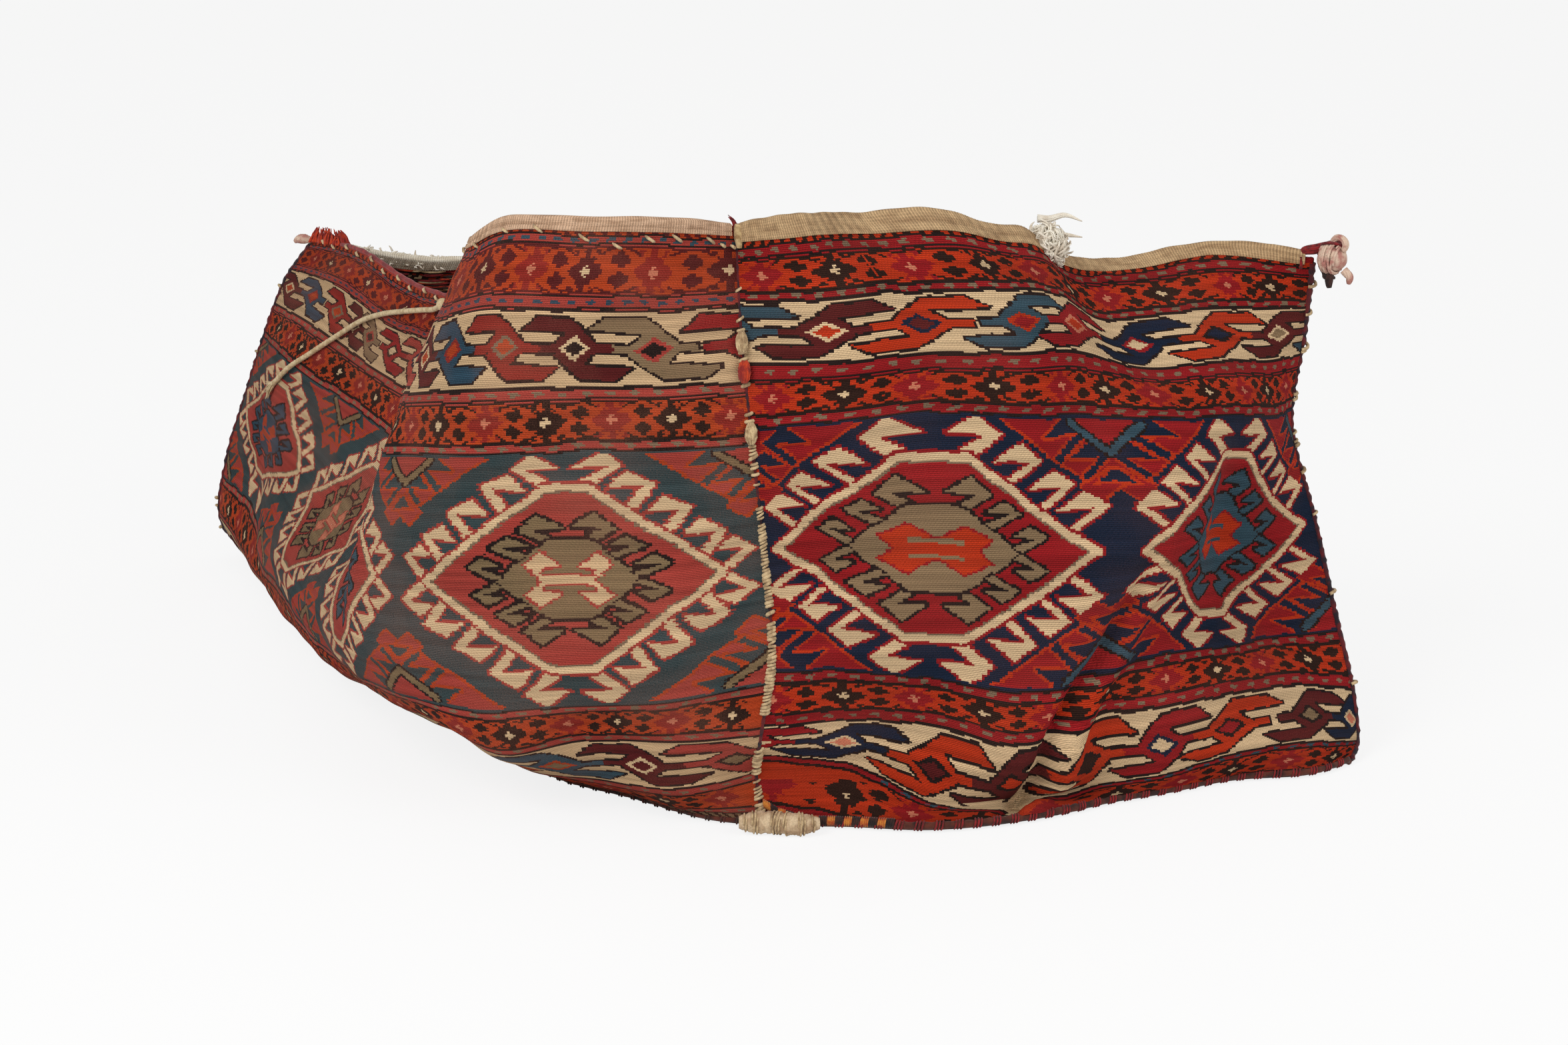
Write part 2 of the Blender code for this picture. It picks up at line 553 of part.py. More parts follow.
def tie_cord(wall, cream, bag):
    """Loop, knot, free cord and frayed end of the leftover tie."""
    up = Vector((0.0, 0.0, 1.0))
    across, down = CORD_ROUTE_SHARES[0]
    here, along, below, outward = wall.frame_at(across, down)
    knot_centre = here + outward * (HEM_THICKNESS / 2 + GAP + TIE_KNOT_RADIUS)
    knot = blob('tie_knot', (TIE_KNOT_RADIUS,) * 3, 0.0, cream, bag)
    knot.location = knot_centre
    rim, along, _, _ = wall.frame_at(across, 0.0)
    rise = (up - along * up.dot(along)).normalized()
    lift = TIE_LOOP_WIRE
    arch = [rim + along * math.cos(math.pi * i / 8) * TIE_LOOP_RADIUS
            + rise * (math.sin(math.pi * i / 8) * TIE_LOOP_RADIUS + lift) for i in range(9)]
    tube('tie_loop', arch, TIE_LOOP_WIRE, cream, bag)

    route = []
    for across, down in CORD_ROUTE_SHARES[1:]:
        place, _, _, away = wall.frame_at(across, down)
        route.append(place + away * (HEM_THICKNESS / 2 + CORD_RADIUS + GAP))
    aim = (route[0] - knot_centre).normalized()
    route.insert(0, knot_centre + aim * (TIE_KNOT_RADIUS + GAP))
    points = smooth_route(route, CORD_POINTS)
    tube('tie_cord', points, CORD_RADIUS, cream, bag)
    last = Vector(points[-1])
    heading = (last - Vector(points[-2])).normalized()
    _, _, _, away = wall.frame_at(*CORD_ROUTE_SHARES[-1])
    away = (away - heading * away.dot(heading)).normalized()
    frayed_end(last + heading * GAP, heading, away, cream, bag)


def frayed_end(foot, heading, away, mat, bag):
    """Flat fan of loose strands at the end of the tie cord."""
    mesh = bpy.data.meshes.new('tie_cord_end')
    fan = bmesh.new()
    bmesh.ops.create_cone(fan, cap_ends=True, segments=12, radius1=CORD_RADIUS, radius2=TIE_END_SPREAD,
                          depth=TIE_END_LENGTH)
    flat = CORD_RADIUS / TIE_END_SPREAD
    for vert in fan.verts:
        if vert.co.z > 0:
            vert.co.x = vert.co.x * flat
        vert.co.z = vert.co.z + TIE_END_LENGTH / 2
    fan.to_mesh(mesh)
    fan.free()
    end = add_object('tie_cord_end', mesh, mat, bag)
    end.rotation_euler = Matrix((away, heading.cross(away), heading)).transposed().to_euler()
    end.location = foot


def rim_tips(front, near_corner, mat, bag):
    """Short red yarn ends that stand on the rim."""
    up = Vector((0.0, 0.0, 1.0))
    for i, across in enumerate(LEFT_TIP_PLACE_SHARES):
        rim, along, _, _ = front.frame_at(across, 0.0)
        lean = Vector((0.12 * (i - 1.5), 0.0, 1.0)).normalized()
        foot = rim + up * (GAP + TIP_RADIUS * (abs(along.z) + 0.3))
        tapered_tip('left_rim_tip_%d' % (i + 1), foot, lean, TIP_RADIUS, TIP_HEIGHT, mat, bag)
    lean = Vector((-0.8, 0.0, 1.0)).normalized()
    foot = near_corner + up * (GAP + TIP_RADIUS * 0.7)
    tapered_tip('near_corner_tip', foot, lean, TIP_RADIUS, TIP_HEIGHT, mat, bag)


def corner_outward(first, second):
    """Plan direction that points out of the corner where one wall ends and the next starts."""
    _, back_along, _, _ = first.frame_at(1.0, 0.0)
    _, on_along, _, _ = second.frame_at(0.0, 0.0)
    outward = Vector((back_along.x - on_along.x, back_along.y - on_along.y, 0.0))
    return outward.normalized()


def walls_of_the_bag():
    """The four walls, which share their corner columns."""
    front_cage = cage_from(LONG_X_SHARES, LONG_Y_SHARES, LONG_Z_SHARES)
    right_cage = cage_from(END_X_SHARES, END_Y_SHARES, END_Z_SHARES)
    back_column = cage_from(np.array([BACK_CORNER_X_SHARES]).T, np.array([BACK_CORNER_Y_SHARES]).T,
                            np.array([BACK_CORNER_Z_SHARES]).T)[:, 0]
    back_cage = hanging_cage(right_cage[:, -1], back_column, FAR_LONG_COLUMN_SHARES,
                             FAR_LONG_SWING_SHARES, FAR_LONG_SAG_SHARES)
    left_cage = hanging_cage(back_column, front_cage[:, -1], FAR_END_COLUMN_SHARES,
                             FAR_END_SWING_SHARES[::-1], FAR_END_SAG_SHARES[::-1])
    front = Wall(LONG_COLUMN_SHARES, front_cage, turn=-1)
    right = Wall(END_COLUMN_SHARES, right_cage)
    back = Wall(FAR_LONG_COLUMN_SHARES, back_cage)
    left = Wall(FAR_END_COLUMN_SHARES, left_cage)
    return front, right, back, left


def build():
    for obj in list(bpy.data.objects):
        bpy.data.objects.remove(obj)
    pieces = bpy.data.collections.new('Kilim bag')
    cutters = bpy.data.collections.new('Cutters')
    bpy.context.scene.collection.children.link(pieces)
    bpy.context.scene.collection.children.link(cutters)
    empty = bpy.data.objects.new('bag_origin', None)
    pieces.objects.link(empty)
    empty.location = (-BASE_MIDDLE_X_SHARE * PLAN_SPREAD, -BASE_MIDDLE_Y_SHARE * PLAN_SPREAD, 0.0)
    bag = {'pieces': pieces, 'cutters': cutters, 'empty': empty}

    madder = material('Madder red wool', MADDER_RED)
    brick = material('Brick red wool', BRICK_RED)
    beige = material('Beige plain weave', HEM_BEIGE)
    cream = material('Cream overcasting', SEAM_CREAM)
    white = material('White cotton', COTTON_WHITE)
    brown = material('Brown base cloth', BASE_BROWN)
    dark = material('Dark brown wool', DARK_BROWN)
    cotton = material('Cotton tie cord', CORD_CREAM)

    front, right, back, left = walls_of_the_bag()
    side = CORNER_SEAM_RADIUS + SEWN_GAP
    foot = BASE_SEAM_RADIUS + SEWN_GAP
    far_foot = BASE_SEAM_RADIUS + FAR_FOOT_GAP
    sheets = (
        ('front_wall', front, LONG_STEPS, LONG_HEM_HEIGHT, foot, brick),
        ('right_end_wall', right, END_STEPS, END_HEM_HEIGHT, foot, madder),
        ('back_wall', back, FAR_LONG_STEPS, LONG_HEM_HEIGHT, far_foot, brick),
        ('left_end_wall', left, FAR_END_STEPS, END_HEM_HEIGHT, far_foot, madder),
    )
    for name, wall, steps, hem, low, mat in sheets:
        sheet(name, wall, steps, DOWN_STEPS, (side, side, hem + SEWN_GAP, low), CLOTH_THICKNESS, mat, bag)
        hem_name = name.replace('_wall', '_hem')
        sheet(hem_name, wall, steps, HEM_DOWN_STEPS, (side, side, 0.0, 0.0, hem), HEM_THICKNESS, beige, bag)
        base_seam(name.replace('_wall', '_base_seam'), wall, brown, bag, steps)
    corner_seam('near_corner_seam', front, cream, bag)
    corner_seam('right_corner_seam', back, cream, bag)
    corner_seam('back_corner_seam', left, cream, bag)
    corner_seam('left_corner_seam', front.backwards(), cream, bag)
    outline = ((right, END_STEPS), (back, FAR_LONG_STEPS), (left, FAR_END_STEPS),
               (front.backwards(), LONG_STEPS))
    base_panel(outline, brown, bag)

    roll_height = ROLL_RADIUS + FLOOR_CLEARANCE
    roll = [(x * PLAN_SPREAD, y * PLAN_SPREAD, roll_height) for x, y in ROLL_ROUTE_SHARES]
    tube('base_corner_roll', smooth_route(roll, len(ROLL_GIRTH_SHARES)), ROLL_RADIUS, beige, bag,
         radii=ROLL_GIRTH_SHARES)
    for i, down in enumerate(SEAM_LUMP_ROW_SHARES):
        place = front.point(0.0, down)
        reach = CORNER_SEAM_RADIUS + SEAM_LUMP_SIZE[1]
        lump = blob('seam_lump_%d' % (i + 1), SEAM_LUMP_SIZE, 0.12, cream, bag, subdivisions=1)
        lump.location = place - Vector((0.0, reach, 0.0))
    cotton_tuft(right, white, bag)
    corner_knot(right.point(1.0, 0.0), corner_outward(right, back), beige, dark, bag)
    tie_cord(front, cotton, bag)
    rim_tips(front, front.point(0.0, 0.0), madder, bag)

    outward = corner_outward(left, front.backwards())
    fall = Vector((0.0, 0.0, -1.0))
    root = front.point(1.0, 0.0) + outward * (CORNER_SEAM_RADIUS + LEFT_KNOB_CLEAR)
    tip = root + outward * LEFT_KNOB_LENGTH + fall * LEFT_KNOB_LENGTH * 0.15
    route = smooth_route((root, (root + tip) / 2, tip), len(LEFT_KNOB_GIRTH_SHARES))
    tube('left_corner_knob', route, LEFT_KNOB_RADIUS, beige, bag, radii=LEFT_KNOB_GIRTH_SHARES)


build()
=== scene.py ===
"""Looks of the kilim bag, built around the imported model."""

import math

import bmesh
import bpy
import numpy as np
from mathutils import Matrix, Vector


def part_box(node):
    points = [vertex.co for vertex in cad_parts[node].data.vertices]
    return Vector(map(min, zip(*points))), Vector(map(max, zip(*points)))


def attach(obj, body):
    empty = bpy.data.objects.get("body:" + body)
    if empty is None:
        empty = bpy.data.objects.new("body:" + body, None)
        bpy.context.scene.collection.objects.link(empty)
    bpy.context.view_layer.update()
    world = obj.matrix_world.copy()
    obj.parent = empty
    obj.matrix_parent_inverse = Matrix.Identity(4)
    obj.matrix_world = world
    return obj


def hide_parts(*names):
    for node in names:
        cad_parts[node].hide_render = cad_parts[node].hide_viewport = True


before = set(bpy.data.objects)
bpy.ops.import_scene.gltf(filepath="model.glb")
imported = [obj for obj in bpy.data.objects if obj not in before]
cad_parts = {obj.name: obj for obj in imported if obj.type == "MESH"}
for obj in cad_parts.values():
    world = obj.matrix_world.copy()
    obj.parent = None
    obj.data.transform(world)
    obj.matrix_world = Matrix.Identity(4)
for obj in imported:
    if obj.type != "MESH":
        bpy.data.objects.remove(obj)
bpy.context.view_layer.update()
rng = np.random.default_rng(11)

# Shape of the standing bag, as in the part's source: rows of millimetres from the near bottom corner,
# from rim to foot, and heights in thousandths of the standing height
ORIGIN = np.array((0.02, -0.42, 0.0))
UP = np.array((0.0, 0.0, 1.0))
STAND_HEIGHT = 0.475
SEAM_FOOT = 0.0051
ROW_SHARES = (0.0, 0.17, 0.33, 0.50, 0.66, 0.79, 0.89, 1.0)
LONG_COLUMN_SHARES = (0.0, 0.0625, 0.125, 0.1875, 0.25, 0.3125, 0.4, 0.5, 0.625, 0.75, 0.875, 1.0)
LONG_X = (
    (-22, -70, -125, -183, -213, -222, -222, -208, -250, -303, -362, -420),
    (-18, -80, -145, -205, -243, -260, -258, -235, -276, -335, -395, -452),
    (-10, -75, -146, -216, -264, -290, -288, -285, -316, -368, -435, -476),
    (-1, -71, -146, -219, -275, -312, -322, -340, -370, -408, -462, -497),
    (4, -72, -140, -212, -275, -312, -345, -382, -418, -454, -474, -517),
    (-4, -74, -134, -200, -252, -284, -315, -358, -402, -445, -488, -526),
    (-8, -70, -124, -184, -228, -252, -275, -318, -365, -412, -462, -512),
    (-3, -50, -105, -163, -195, -212, -232, -264, -310, -360, -410, -462),
)
LONG_Y = (
    (0, -38, -45, -2, 52, 115, 215, 318, 368, 470, 592, 720),
    (-5, -20, -38, -16, 36, 100, 195, 295, 405, 515, 640, 748),
    (-8, -18, -27, -20, 25, 86, 175, 280, 410, 530, 648, 762),
    (0, -22, -22, -12, 20, 76, 165, 275, 410, 543, 670, 770),
    (-20, -40, -28, -8, 32, 90, 180, 290, 425, 560, 690, 775),
    (-16, -22, 0, 14, 100, 152, 228, 310, 430, 548, 680, 776),
    (6, 0, 34, 82, 142, 184, 252, 332, 445, 556, 672, 780),
    (5, 22, 68, 112, 170, 212, 276, 360, 462, 565, 665, 765),
)
LONG_Z = (
    (977, 1000, 1004, 990, 941, 910, 863, 775, 712, 690, 703, 672),
    (811, 808, 817, 806, 770, 737, 682, 602, 573, 564, 585, 579),
    (636, 632, 636, 623, 602, 568, 518, 446, 421, 434, 455, 459),
    (450, 444, 442, 432, 419, 392, 347, 303, 282, 286, 316, 333),
    (301, 280, 267, 248, 240, 219, 194, 180, 170, 166, 200, 206),
    (173, 166, 152, 122, 110, 100, 84, 66, 52, 50, 54, 88),
    (95, 72, 66, 46, 48, 52, 46, 34, 30, 27, 25, 32),
)
END_COLUMN_SHARES = (0.0, 0.125, 0.25, 0.375, 0.45, 0.5, 0.6, 0.75, 0.875, 1.0)
END_X = (
    (-22, 20, 60, 128, 165, 188, 220, 282, 352, 430),
    (-18, 50, 117, 184, 216, 233, 266, 332, 386, 427),
    (-10, 48, 127, 197, 234, 257, 310, 364, 399, 420),
    (-1, 60, 130, 200, 240, 275, 318, 350, 392, 441),
    (4, 65, 132, 200, 238, 258, 298, 350, 392, 456),
    (-4, 65, 132, 196, 228, 248, 300, 368, 422, 468),
    (-8, 65, 132, 198, 238, 262, 312, 378, 436, 472),
    (-3, 60, 125, 192, 232, 258, 308, 370, 427, 466),
)
END_Y = (
    (0, -28, 20, 50, 80, 100, 145, 200, 230, 222),
    (-5, -28, 10, 40, 64, 80, 118, 158, 202, 240),
    (-8, -24, 4, 32, 54, 65, 88, 138, 192, 245),
    (0, -25, 0, 24, 34, 38, 66, 145, 198, 238),
    (-20, -27, -5, 14, 25, 44, 76, 134, 182, 215),
    (-16, -6, 2, 12, 28, 46, 66, 104, 142, 182),
    (6, 10, 10, 31, 47, 58, 72, 110, 134, 172),
    (5, 3, -4, 14, 35, 53, 78, 112, 124, 156),
)
END_Z = (
    (977, 1002, 985, 981, 947, 933, 874, 842, 851, 838),
    (811, 821, 817, 804, 796, 783, 733, 720, 699, 695),
    (636, 657, 661, 642, 632, 625, 611, 589, 564, 547),
    (450, 476, 467, 450, 446, 444, 442, 411, 385, 379),
    (301, 307, 291, 269, 269, 282, 282, 253, 236, 236),
    (173, 185, 158, 118, 130, 145, 146, 155, 144, 115),
    (95, 92, 48, 41, 47, 53, 58, 62, 60, 38),
)
BACK_CORNER_X = (30, 42, 50, 54, 52, 45, 36, 25)
BACK_CORNER_Y = (880, 905, 925, 935, 935, 920, 905, 870)
BACK_CORNER_Z = (632, 537, 432, 326, 221, 126, 53)

# The far walls hang between their corners: how far each column swings out, in metres, and sags
FAR_LONG_COLUMN_SHARES = (0.0, 0.125, 0.25, 0.375, 0.5, 0.625, 0.75, 0.875, 1.0)
FAR_LONG_SWING = (0.0, 0.025, -0.030, -0.080, -0.030, 0.050, 0.080, 0.030, 0.0)
FAR_LONG_SAG_SHARES = (0.0, 0.06, 0.075, 0.065, 0.06, 0.06, 0.04, 0.02, 0.0)
FAR_END_COLUMN_SHARES = (0.0, 0.25, 0.5, 0.75, 1.0)
FAR_END_SWING = (0.0, 0.022, 0.012, 0.045, 0.0)
FAR_END_SAG_SHARES = (0.0, 0.006, 0.032, 0.063, 0.0)
SWING_ROW_SHARES = (1.0, 1.0, 1.05, 1.1, 1.1, 1.0, 0.9, 0.85)
CLOTH_HALF = 0.002

# Narrow folds of the right wall: millimetres across and down, width and depth
FOLD = ((302, 200), (300, 240), (296, 300), (278, 341), (257, 358), (242, 387), (216, 447), (198, 500))
FOLD_LIP = ((318, 206), (317, 246), (313, 306), (297, 350), (276, 370), (261, 398), (236, 455), (218, 500))
RIGHT_CREASES = (
    (FOLD, 9.0, -0.013), (FOLD_LIP, 13.0, 0.009),
    (((402, 150), (425, 220), (447, 300)), 22.0, -0.007), (((120, 440), (190, 470), (260, 478)), 14.0, -0.006),
)

# Stitch grid of the weft wrapping, in millimetres, and the most stitches of one dye joined in a face
STITCH_WIDE = 2.0
STITCH_HIGH = 1.4
FACE_MOST = (6, 7)
REVERSE_MOST = (3, 2)

# Levels above and below every band, and the pale stitches of a twined line, in millimetres
ABOVE_ALL, BELOW_ALL = -50, 900
TWINE_PITCH, TWINE_WIDE = 10.4, 5.4

# Dyes as seen in daylight, 0 to 255
DYES = {
    'navy': (24, 36, 56), 'steel': (54, 80, 92), 'teal': (56, 71, 73), 'crimson': (150, 27, 31),
    'salmon': (168, 64, 55), 'brick': (146, 42, 34), 'orange': (186, 52, 22), 'rust': (182, 66, 30),
    'cream': (220, 188, 146), 'pale': (212, 178, 136), 'olive': (138, 113, 84), 'moss': (130, 108, 78),
    'maroon': (92, 30, 30), 'brown': (44, 26, 20), 'dark': (36, 26, 24), 'pink': (206, 122, 94),
    'ash': (128, 106, 84), 'blue': (46, 72, 88), 'gold': (206, 130, 34),
}
DYE_NUMBERS = {name: i for i, name in enumerate(DYES)}


def spline_weights(knots, places):
    """Weights that carry values at uneven knots to a smooth curve, for many places at once."""
    knots = np.asarray(knots, float)
    places = np.atleast_1d(np.asarray(places, float))
    values = np.eye(len(knots))
    spans = np.diff(knots)
    chords = np.diff(values, axis=0) / spans[:, None]
    slopes = np.zeros_like(values)
    slopes[0] = chords[0]
    slopes[-1] = chords[-1]
    share = spans[1:] / (spans[:-1] + spans[1:])
    slopes[1:-1] = chords[:-1] * share[:, None] + chords[1:] * (1 - share)[:, None]
    i = np.clip(np.searchsorted(knots, places, side='right') - 1, 0, len(knots) - 2)
    span = spans[i]
    s = (places - knots[i]) / span
    start = (2 * s ** 3 - 3 * s ** 2 + 1)[:, None]
    lead = ((s ** 3 - 2 * s ** 2 + s) * span)[:, None]
    trail = ((s ** 3 - s ** 2) * span)[:, None]
    return start * values[i] + lead * slopes[i] + (1 - start) * values[i + 1] + trail * slopes[i + 1]


def unit(vectors):
    return vectors / np.maximum(np.linalg.norm(vectors, axis=-1, keepdims=True), 1e-12)


def run_lengths(points):
    """How far along a line each of its points lies."""
    return np.concatenate([[0], np.cumsum(np.linalg.norm(np.diff(points, axis=0), axis=1))])


def smooth(points, count):
    """A smooth run of points through a few given ones."""
    points = np.array([list(p) for p in points], float)
    knots = run_lengths(points)
    return spline_weights(knots, np.linspace(0, knots[-1], count)) @ points


def even(points, step):
    """The same line with points a step apart."""
    gone = run_lengths(points)
    places = np.linspace(0, gone[-1], max(int(gone[-1] / step), 2) + 1)
    return np.stack([np.interp(places, gone, points[:, k]) for k in range(3)], axis=-1)


def shown(name, data):
    obj = bpy.data.objects.new(name, data)
    bpy.context.scene.collection.objects.link(obj)
    return obj


def mesh_of(name, points, faces, mat):
    """A smooth mesh of one material."""
    mesh = bpy.data.meshes.new(name)
    mesh.from_pydata(points, [], faces)
    mesh.polygons.foreach_set('use_smooth', np.ones(len(faces), bool))
    mesh.materials.append(mat)
    return mesh


def lay_out(mesh, flat, wide, high):
    """Texture places of a cloth: shares of it for baking, and millimetres for its material."""
    corners = np.zeros(len(mesh.loops), np.int32)
    mesh.loops.foreach_get('vertex_index', corners)
    for layer, scale in (('OFBake', (1 / wide, 1 / high)), ('Cloth', (1, 1))):
        uv = mesh.uv_layers.new(name=layer)
        uv.data.foreach_set('uv', (flat * scale)[corners].astype(np.float32).ravel())
    mesh.uv_layers.active = mesh.uv_layers['OFBake']


def middle_of(node):
    low, high = (np.array(v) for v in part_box(node))
    return (low + high) / 2


def settle(name, mesh, replaces, body='bag'):
    """A piece of the bag, put in the scene and told to the frame."""
    obj = shown(name, mesh)
    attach(obj, body)
    if replaces:
        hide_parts(*replaces)
    return obj


class Wall:
    """A woven wall as a smooth sheet; across and down are shares of its cloth."""

    def __init__(self, columns, cage, turn=1, creases=()):
        self.columns = columns
        self.cage = cage
        self.turn = turn
        self.creases = creases

    def lattice(self, across, down):
        return np.einsum('jr,rck,ic->jik', spline_weights(ROW_SHARES, down), self.cage,
                         spline_weights(self.columns, across))

    def at(self, across, down):
        return np.einsum('nr,rck,nc->nk', spline_weights(ROW_SHARES, down), self.cage,
                         spline_weights(self.columns, across))

    def outward(self, across, down):
        step = 0.003
        across = np.atleast_1d(np.asarray(across, float))
        down = np.atleast_1d(np.asarray(down, float))
        a0, a1 = np.clip(across - step, 0, 1), np.clip(across + step, 0, 1)
        d0, d1 = np.clip(down - step, 0, 1), np.clip(down + step, 0, 1)
        along = self.at(a1, down) - self.at(a0, down)
        below = self.at(across, d1) - self.at(across, d0)
        return unit(np.cross(below, along)) * self.turn

    def point(self, across, down):
        return self.at([across], [down])[0]

    def away(self, across, down):
        return self.outward([across], [down])[0]

    def length(self):
        """Cloth length along its middle, in metres."""
        middle = self.at(np.linspace(0, 1, 200), np.full(200, 0.4))
        return float(np.linalg.norm(np.diff(middle, axis=0), axis=1).sum())


def cage_from(x, y, z):
    """Cage of a near wall, in metres; its foot row lies at the base seam."""
    z = np.array(z) / 1000 * STAND_HEIGHT
    z = np.vstack([z, np.full((1, z.shape[1]), SEAM_FOOT)])
    return np.stack([np.array(x) / 1000, np.array(y) / 1000, z], axis=-1) + ORIGIN


def hanging_cage(start, end, columns, swings, sags):
    """Cage of a far wall, hung between two corner columns."""
    cage = np.zeros((len(ROW_SHARES), len(columns), 3))
    for r, down in enumerate(ROW_SHARES):
        run = end[r] - start[r]
        outward = np.array([run[1], -run[0], 0.0]) / np.hypot(run[0], run[1])
        for c, across in enumerate(columns):
            place = start[r] + run * across + outward * swings[c] * SWING_ROW_SHARES[r]
            place[2] -= sags[c] * (1 - down) * STAND_HEIGHT
            cage[r, c] = place
    return cage


front_cage = cage_from(LONG_X, LONG_Y, LONG_Z)
right_cage = cage_from(END_X, END_Y, END_Z)
corner = cage_from(np.array([BACK_CORNER_X]).T, np.array([BACK_CORNER_Y]).T, np.array([BACK_CORNER_Z]).T)[:, 0]
back_cage = hanging_cage(right_cage[:, -1], corner, FAR_LONG_COLUMN_SHARES, FAR_LONG_SWING, FAR_LONG_SAG_SHARES)
left_cage = hanging_cage(corner, front_cage[:, -1], FAR_END_COLUMN_SHARES, FAR_END_SWING, FAR_END_SAG_SHARES)
front = Wall(LONG_COLUMN_SHARES, front_cage, -1)
right = Wall(END_COLUMN_SHARES, right_cage, creases=RIGHT_CREASES)
back = Wall(FAR_LONG_COLUMN_SHARES, back_cage)
left = Wall(FAR_END_COLUMN_SHARES, left_cage)


# ---- the woven pattern ----

# Shapes in millimetres, drawn in the upper left quarter of what they belong to
HOOK = ((-3.7, 1.8), (-27.2, -18.1), (-10.4, -29.8), (10.4, -15.4), (-18.2, -16.9), (0.6, -2.0))
TOP_HOOK = ((8.4, -2.2), (-10.5, -14), (18.9, -15), (-5.3, -29), (-24.2, -15), (-3, 1.5))
LONG_HOOK = ((-3.5, 2), (-19.3, -18.8), (1, -29), (13.6, -16), (-10.0, -17.6), (2.4, -2.4))
LONG_TAIL = ((-0.5, 3), (-24.3, -17), (-6, -29), (6, -20), (-15.2, -18.2), (3, -3.6))
LONG_TOP = ((6, -3.2), (-11.2, -12.8), (13.2, -13.9), (-8.1, -25), (-21.3, -13.9), (-2, 1))
INNER_TOP = ((-6, 0.8), (-21.5, -9.5), (-6.4, -22.8), (13.8, -9.8), (-10.3, -9.2), (2.4, -2))
INNER_HOOK = ((-4, 1.8), (-26, -10), (-11.8, -18.8), (2.6, -10.2), (-17, -9.4), (2.8, -2))
CORE = ((0, -8), (-4, -9), (-22, -19), (-41, -9), (-31, 0))
LONG_CORE = ((0, -3.2), (-17, -3.2), (-19.5, -8.8), (-6, -9.6), (-19.3, -20.8), (-29.4, -11.8), (-17.5, 0))
MOTIF = ((-38, -2.6), (-21, -2.6), (-19, -5), (8, -20.5), (41, -21), (56, -12), (10, -11.2), (13, -8), (21, -2.6),
         (38, -2.6))
LOZENGE = ((-16.3, 0), (0, -8.5), (16.3, 0), (0, 8.5))
ROSETTE = ((0, -12.5), (-3.6, -12.5), (-3.6, -7), (-9, -8), (-8.5, -4.5), (-13, -4), (-19, 0))
ROSETTE_HEART = ((0, -3.4), (-1.6, -3.4), (-1.6, -1.3), (-4.6, -1.3), (-4.6, 0))
FLECK = ((0, -4.6), (-2.8, -4.4), (-3.4, -2.6), (-8.4, -2.2), (-8.0, 1.5), (-3.4, 2.6), (-2.8, 4.4), (0, 4.6))
ARC = ((-17, -8.5), (-11, -11.0), (-6, -11.4))
# Repeat and height of the bands that the rosettes and the linked hooks are drawn for
ROSETTE_REPEAT, ROSETTE_BAND = 60, 26
HOOK_REPEAT, HOOK_BAND = 75, 51.5


class Cloth:
    """Dyes of a wall's stitches, painted over each other in millimetres."""

    def __init__(self, x, y, ground):
        self.x = x
        self.y = y
        self.column_x = x.mean(axis=0)
        self.row_y = y.mean(axis=1)
        self.dye = np.full(x.shape, DYE_NUMBERS[ground], np.uint8)

    def window(self, points, spare):
        """The stitches near some points, as slices."""
        points = np.array(points, float)
        low = points.min(axis=0) - spare
        high = points.max(axis=0) + spare
        cols = slice(*np.searchsorted(self.column_x, (low[0], high[0])))
        rows = slice(*np.searchsorted(self.row_y, (low[1], high[1])))
        return points, rows, cols

    def fill(self, points, dye):
        points, rows, cols = self.window(points, 5)
        x = self.x[rows, cols]
        y = self.y[rows, cols]
        inside = np.zeros(x.shape, bool)
        for (x0, y0), (x1, y1) in zip(points, np.roll(points, -1, axis=0)):
            if y0 != y1:
                inside ^= ((y0 > y) != (y1 > y)) & (x < (x1 - x0) * (y - y0) / (y1 - y0) + x0)
        self.dye[rows, cols][inside] = DYE_NUMBERS[dye]

    def stroke(self, points, width, dye, closed=True):
        points, rows, cols = self.window(points, 5 + width)
        x = self.x[rows, cols]
        y = self.y[rows, cols]
        ends = np.roll(points, -1, axis=0) if closed else points[1:]
        near = np.zeros(x.shape, bool)
        for (x0, y0), (x1, y1) in zip(points, ends):
            dx, dy = x1 - x0, y1 - y0
            t = np.clip(((x - x0) * dx + (y - y0) * dy) / (dx * dx + dy * dy + 1e-9), 0, 1)
            near |= (x - x0 - t * dx) ** 2 + (y - y0 - t * dy) ** 2 < width * width / 4
        self.dye[rows, cols][near] = DYE_NUMBERS[dye]

    def shape(self, points, dye, edge, width):
        """A filled figure with an outline of another dye."""
        self.stroke(points, 2 * width, edge)
        self.fill(points, dye)

    def band(self, top, bottom, dye):
        rows = (self.y >= top) & (self.y < bottom)
        self.dye[rows] = DYE_NUMBERS[dye]

    def line(self, y, width, dye):
        self.band(y - width / 2, y + width / 2, dye)


def placed(points, x, y, mx=1, my=1):
    """Points scaled or mirrored, and moved to a place."""
    return [(x + mx * px, y + my * py) for px, py in points]


def mirrored_ring(quarter):
    """A closed outline from its upper left quarter, which runs from the top to the left tip."""
    top_right = [(-x, y) for x, y in quarter[1:]]
    upper = list(reversed(quarter)) + top_right
    lower = [(x, -y) for x, y in reversed(upper[1:-1])]
    return upper + lower


def four_ways(x_scale=1, y_scale=1):
    return [(mx * x_scale, my * y_scale) for mx in (-1, 1) for my in (-1, 1)]


def hexagon(wide, high, flat):
    return (-flat, -high), (flat, -high), (wide, 0), (flat, high), (-flat, high), (-wide, 0)


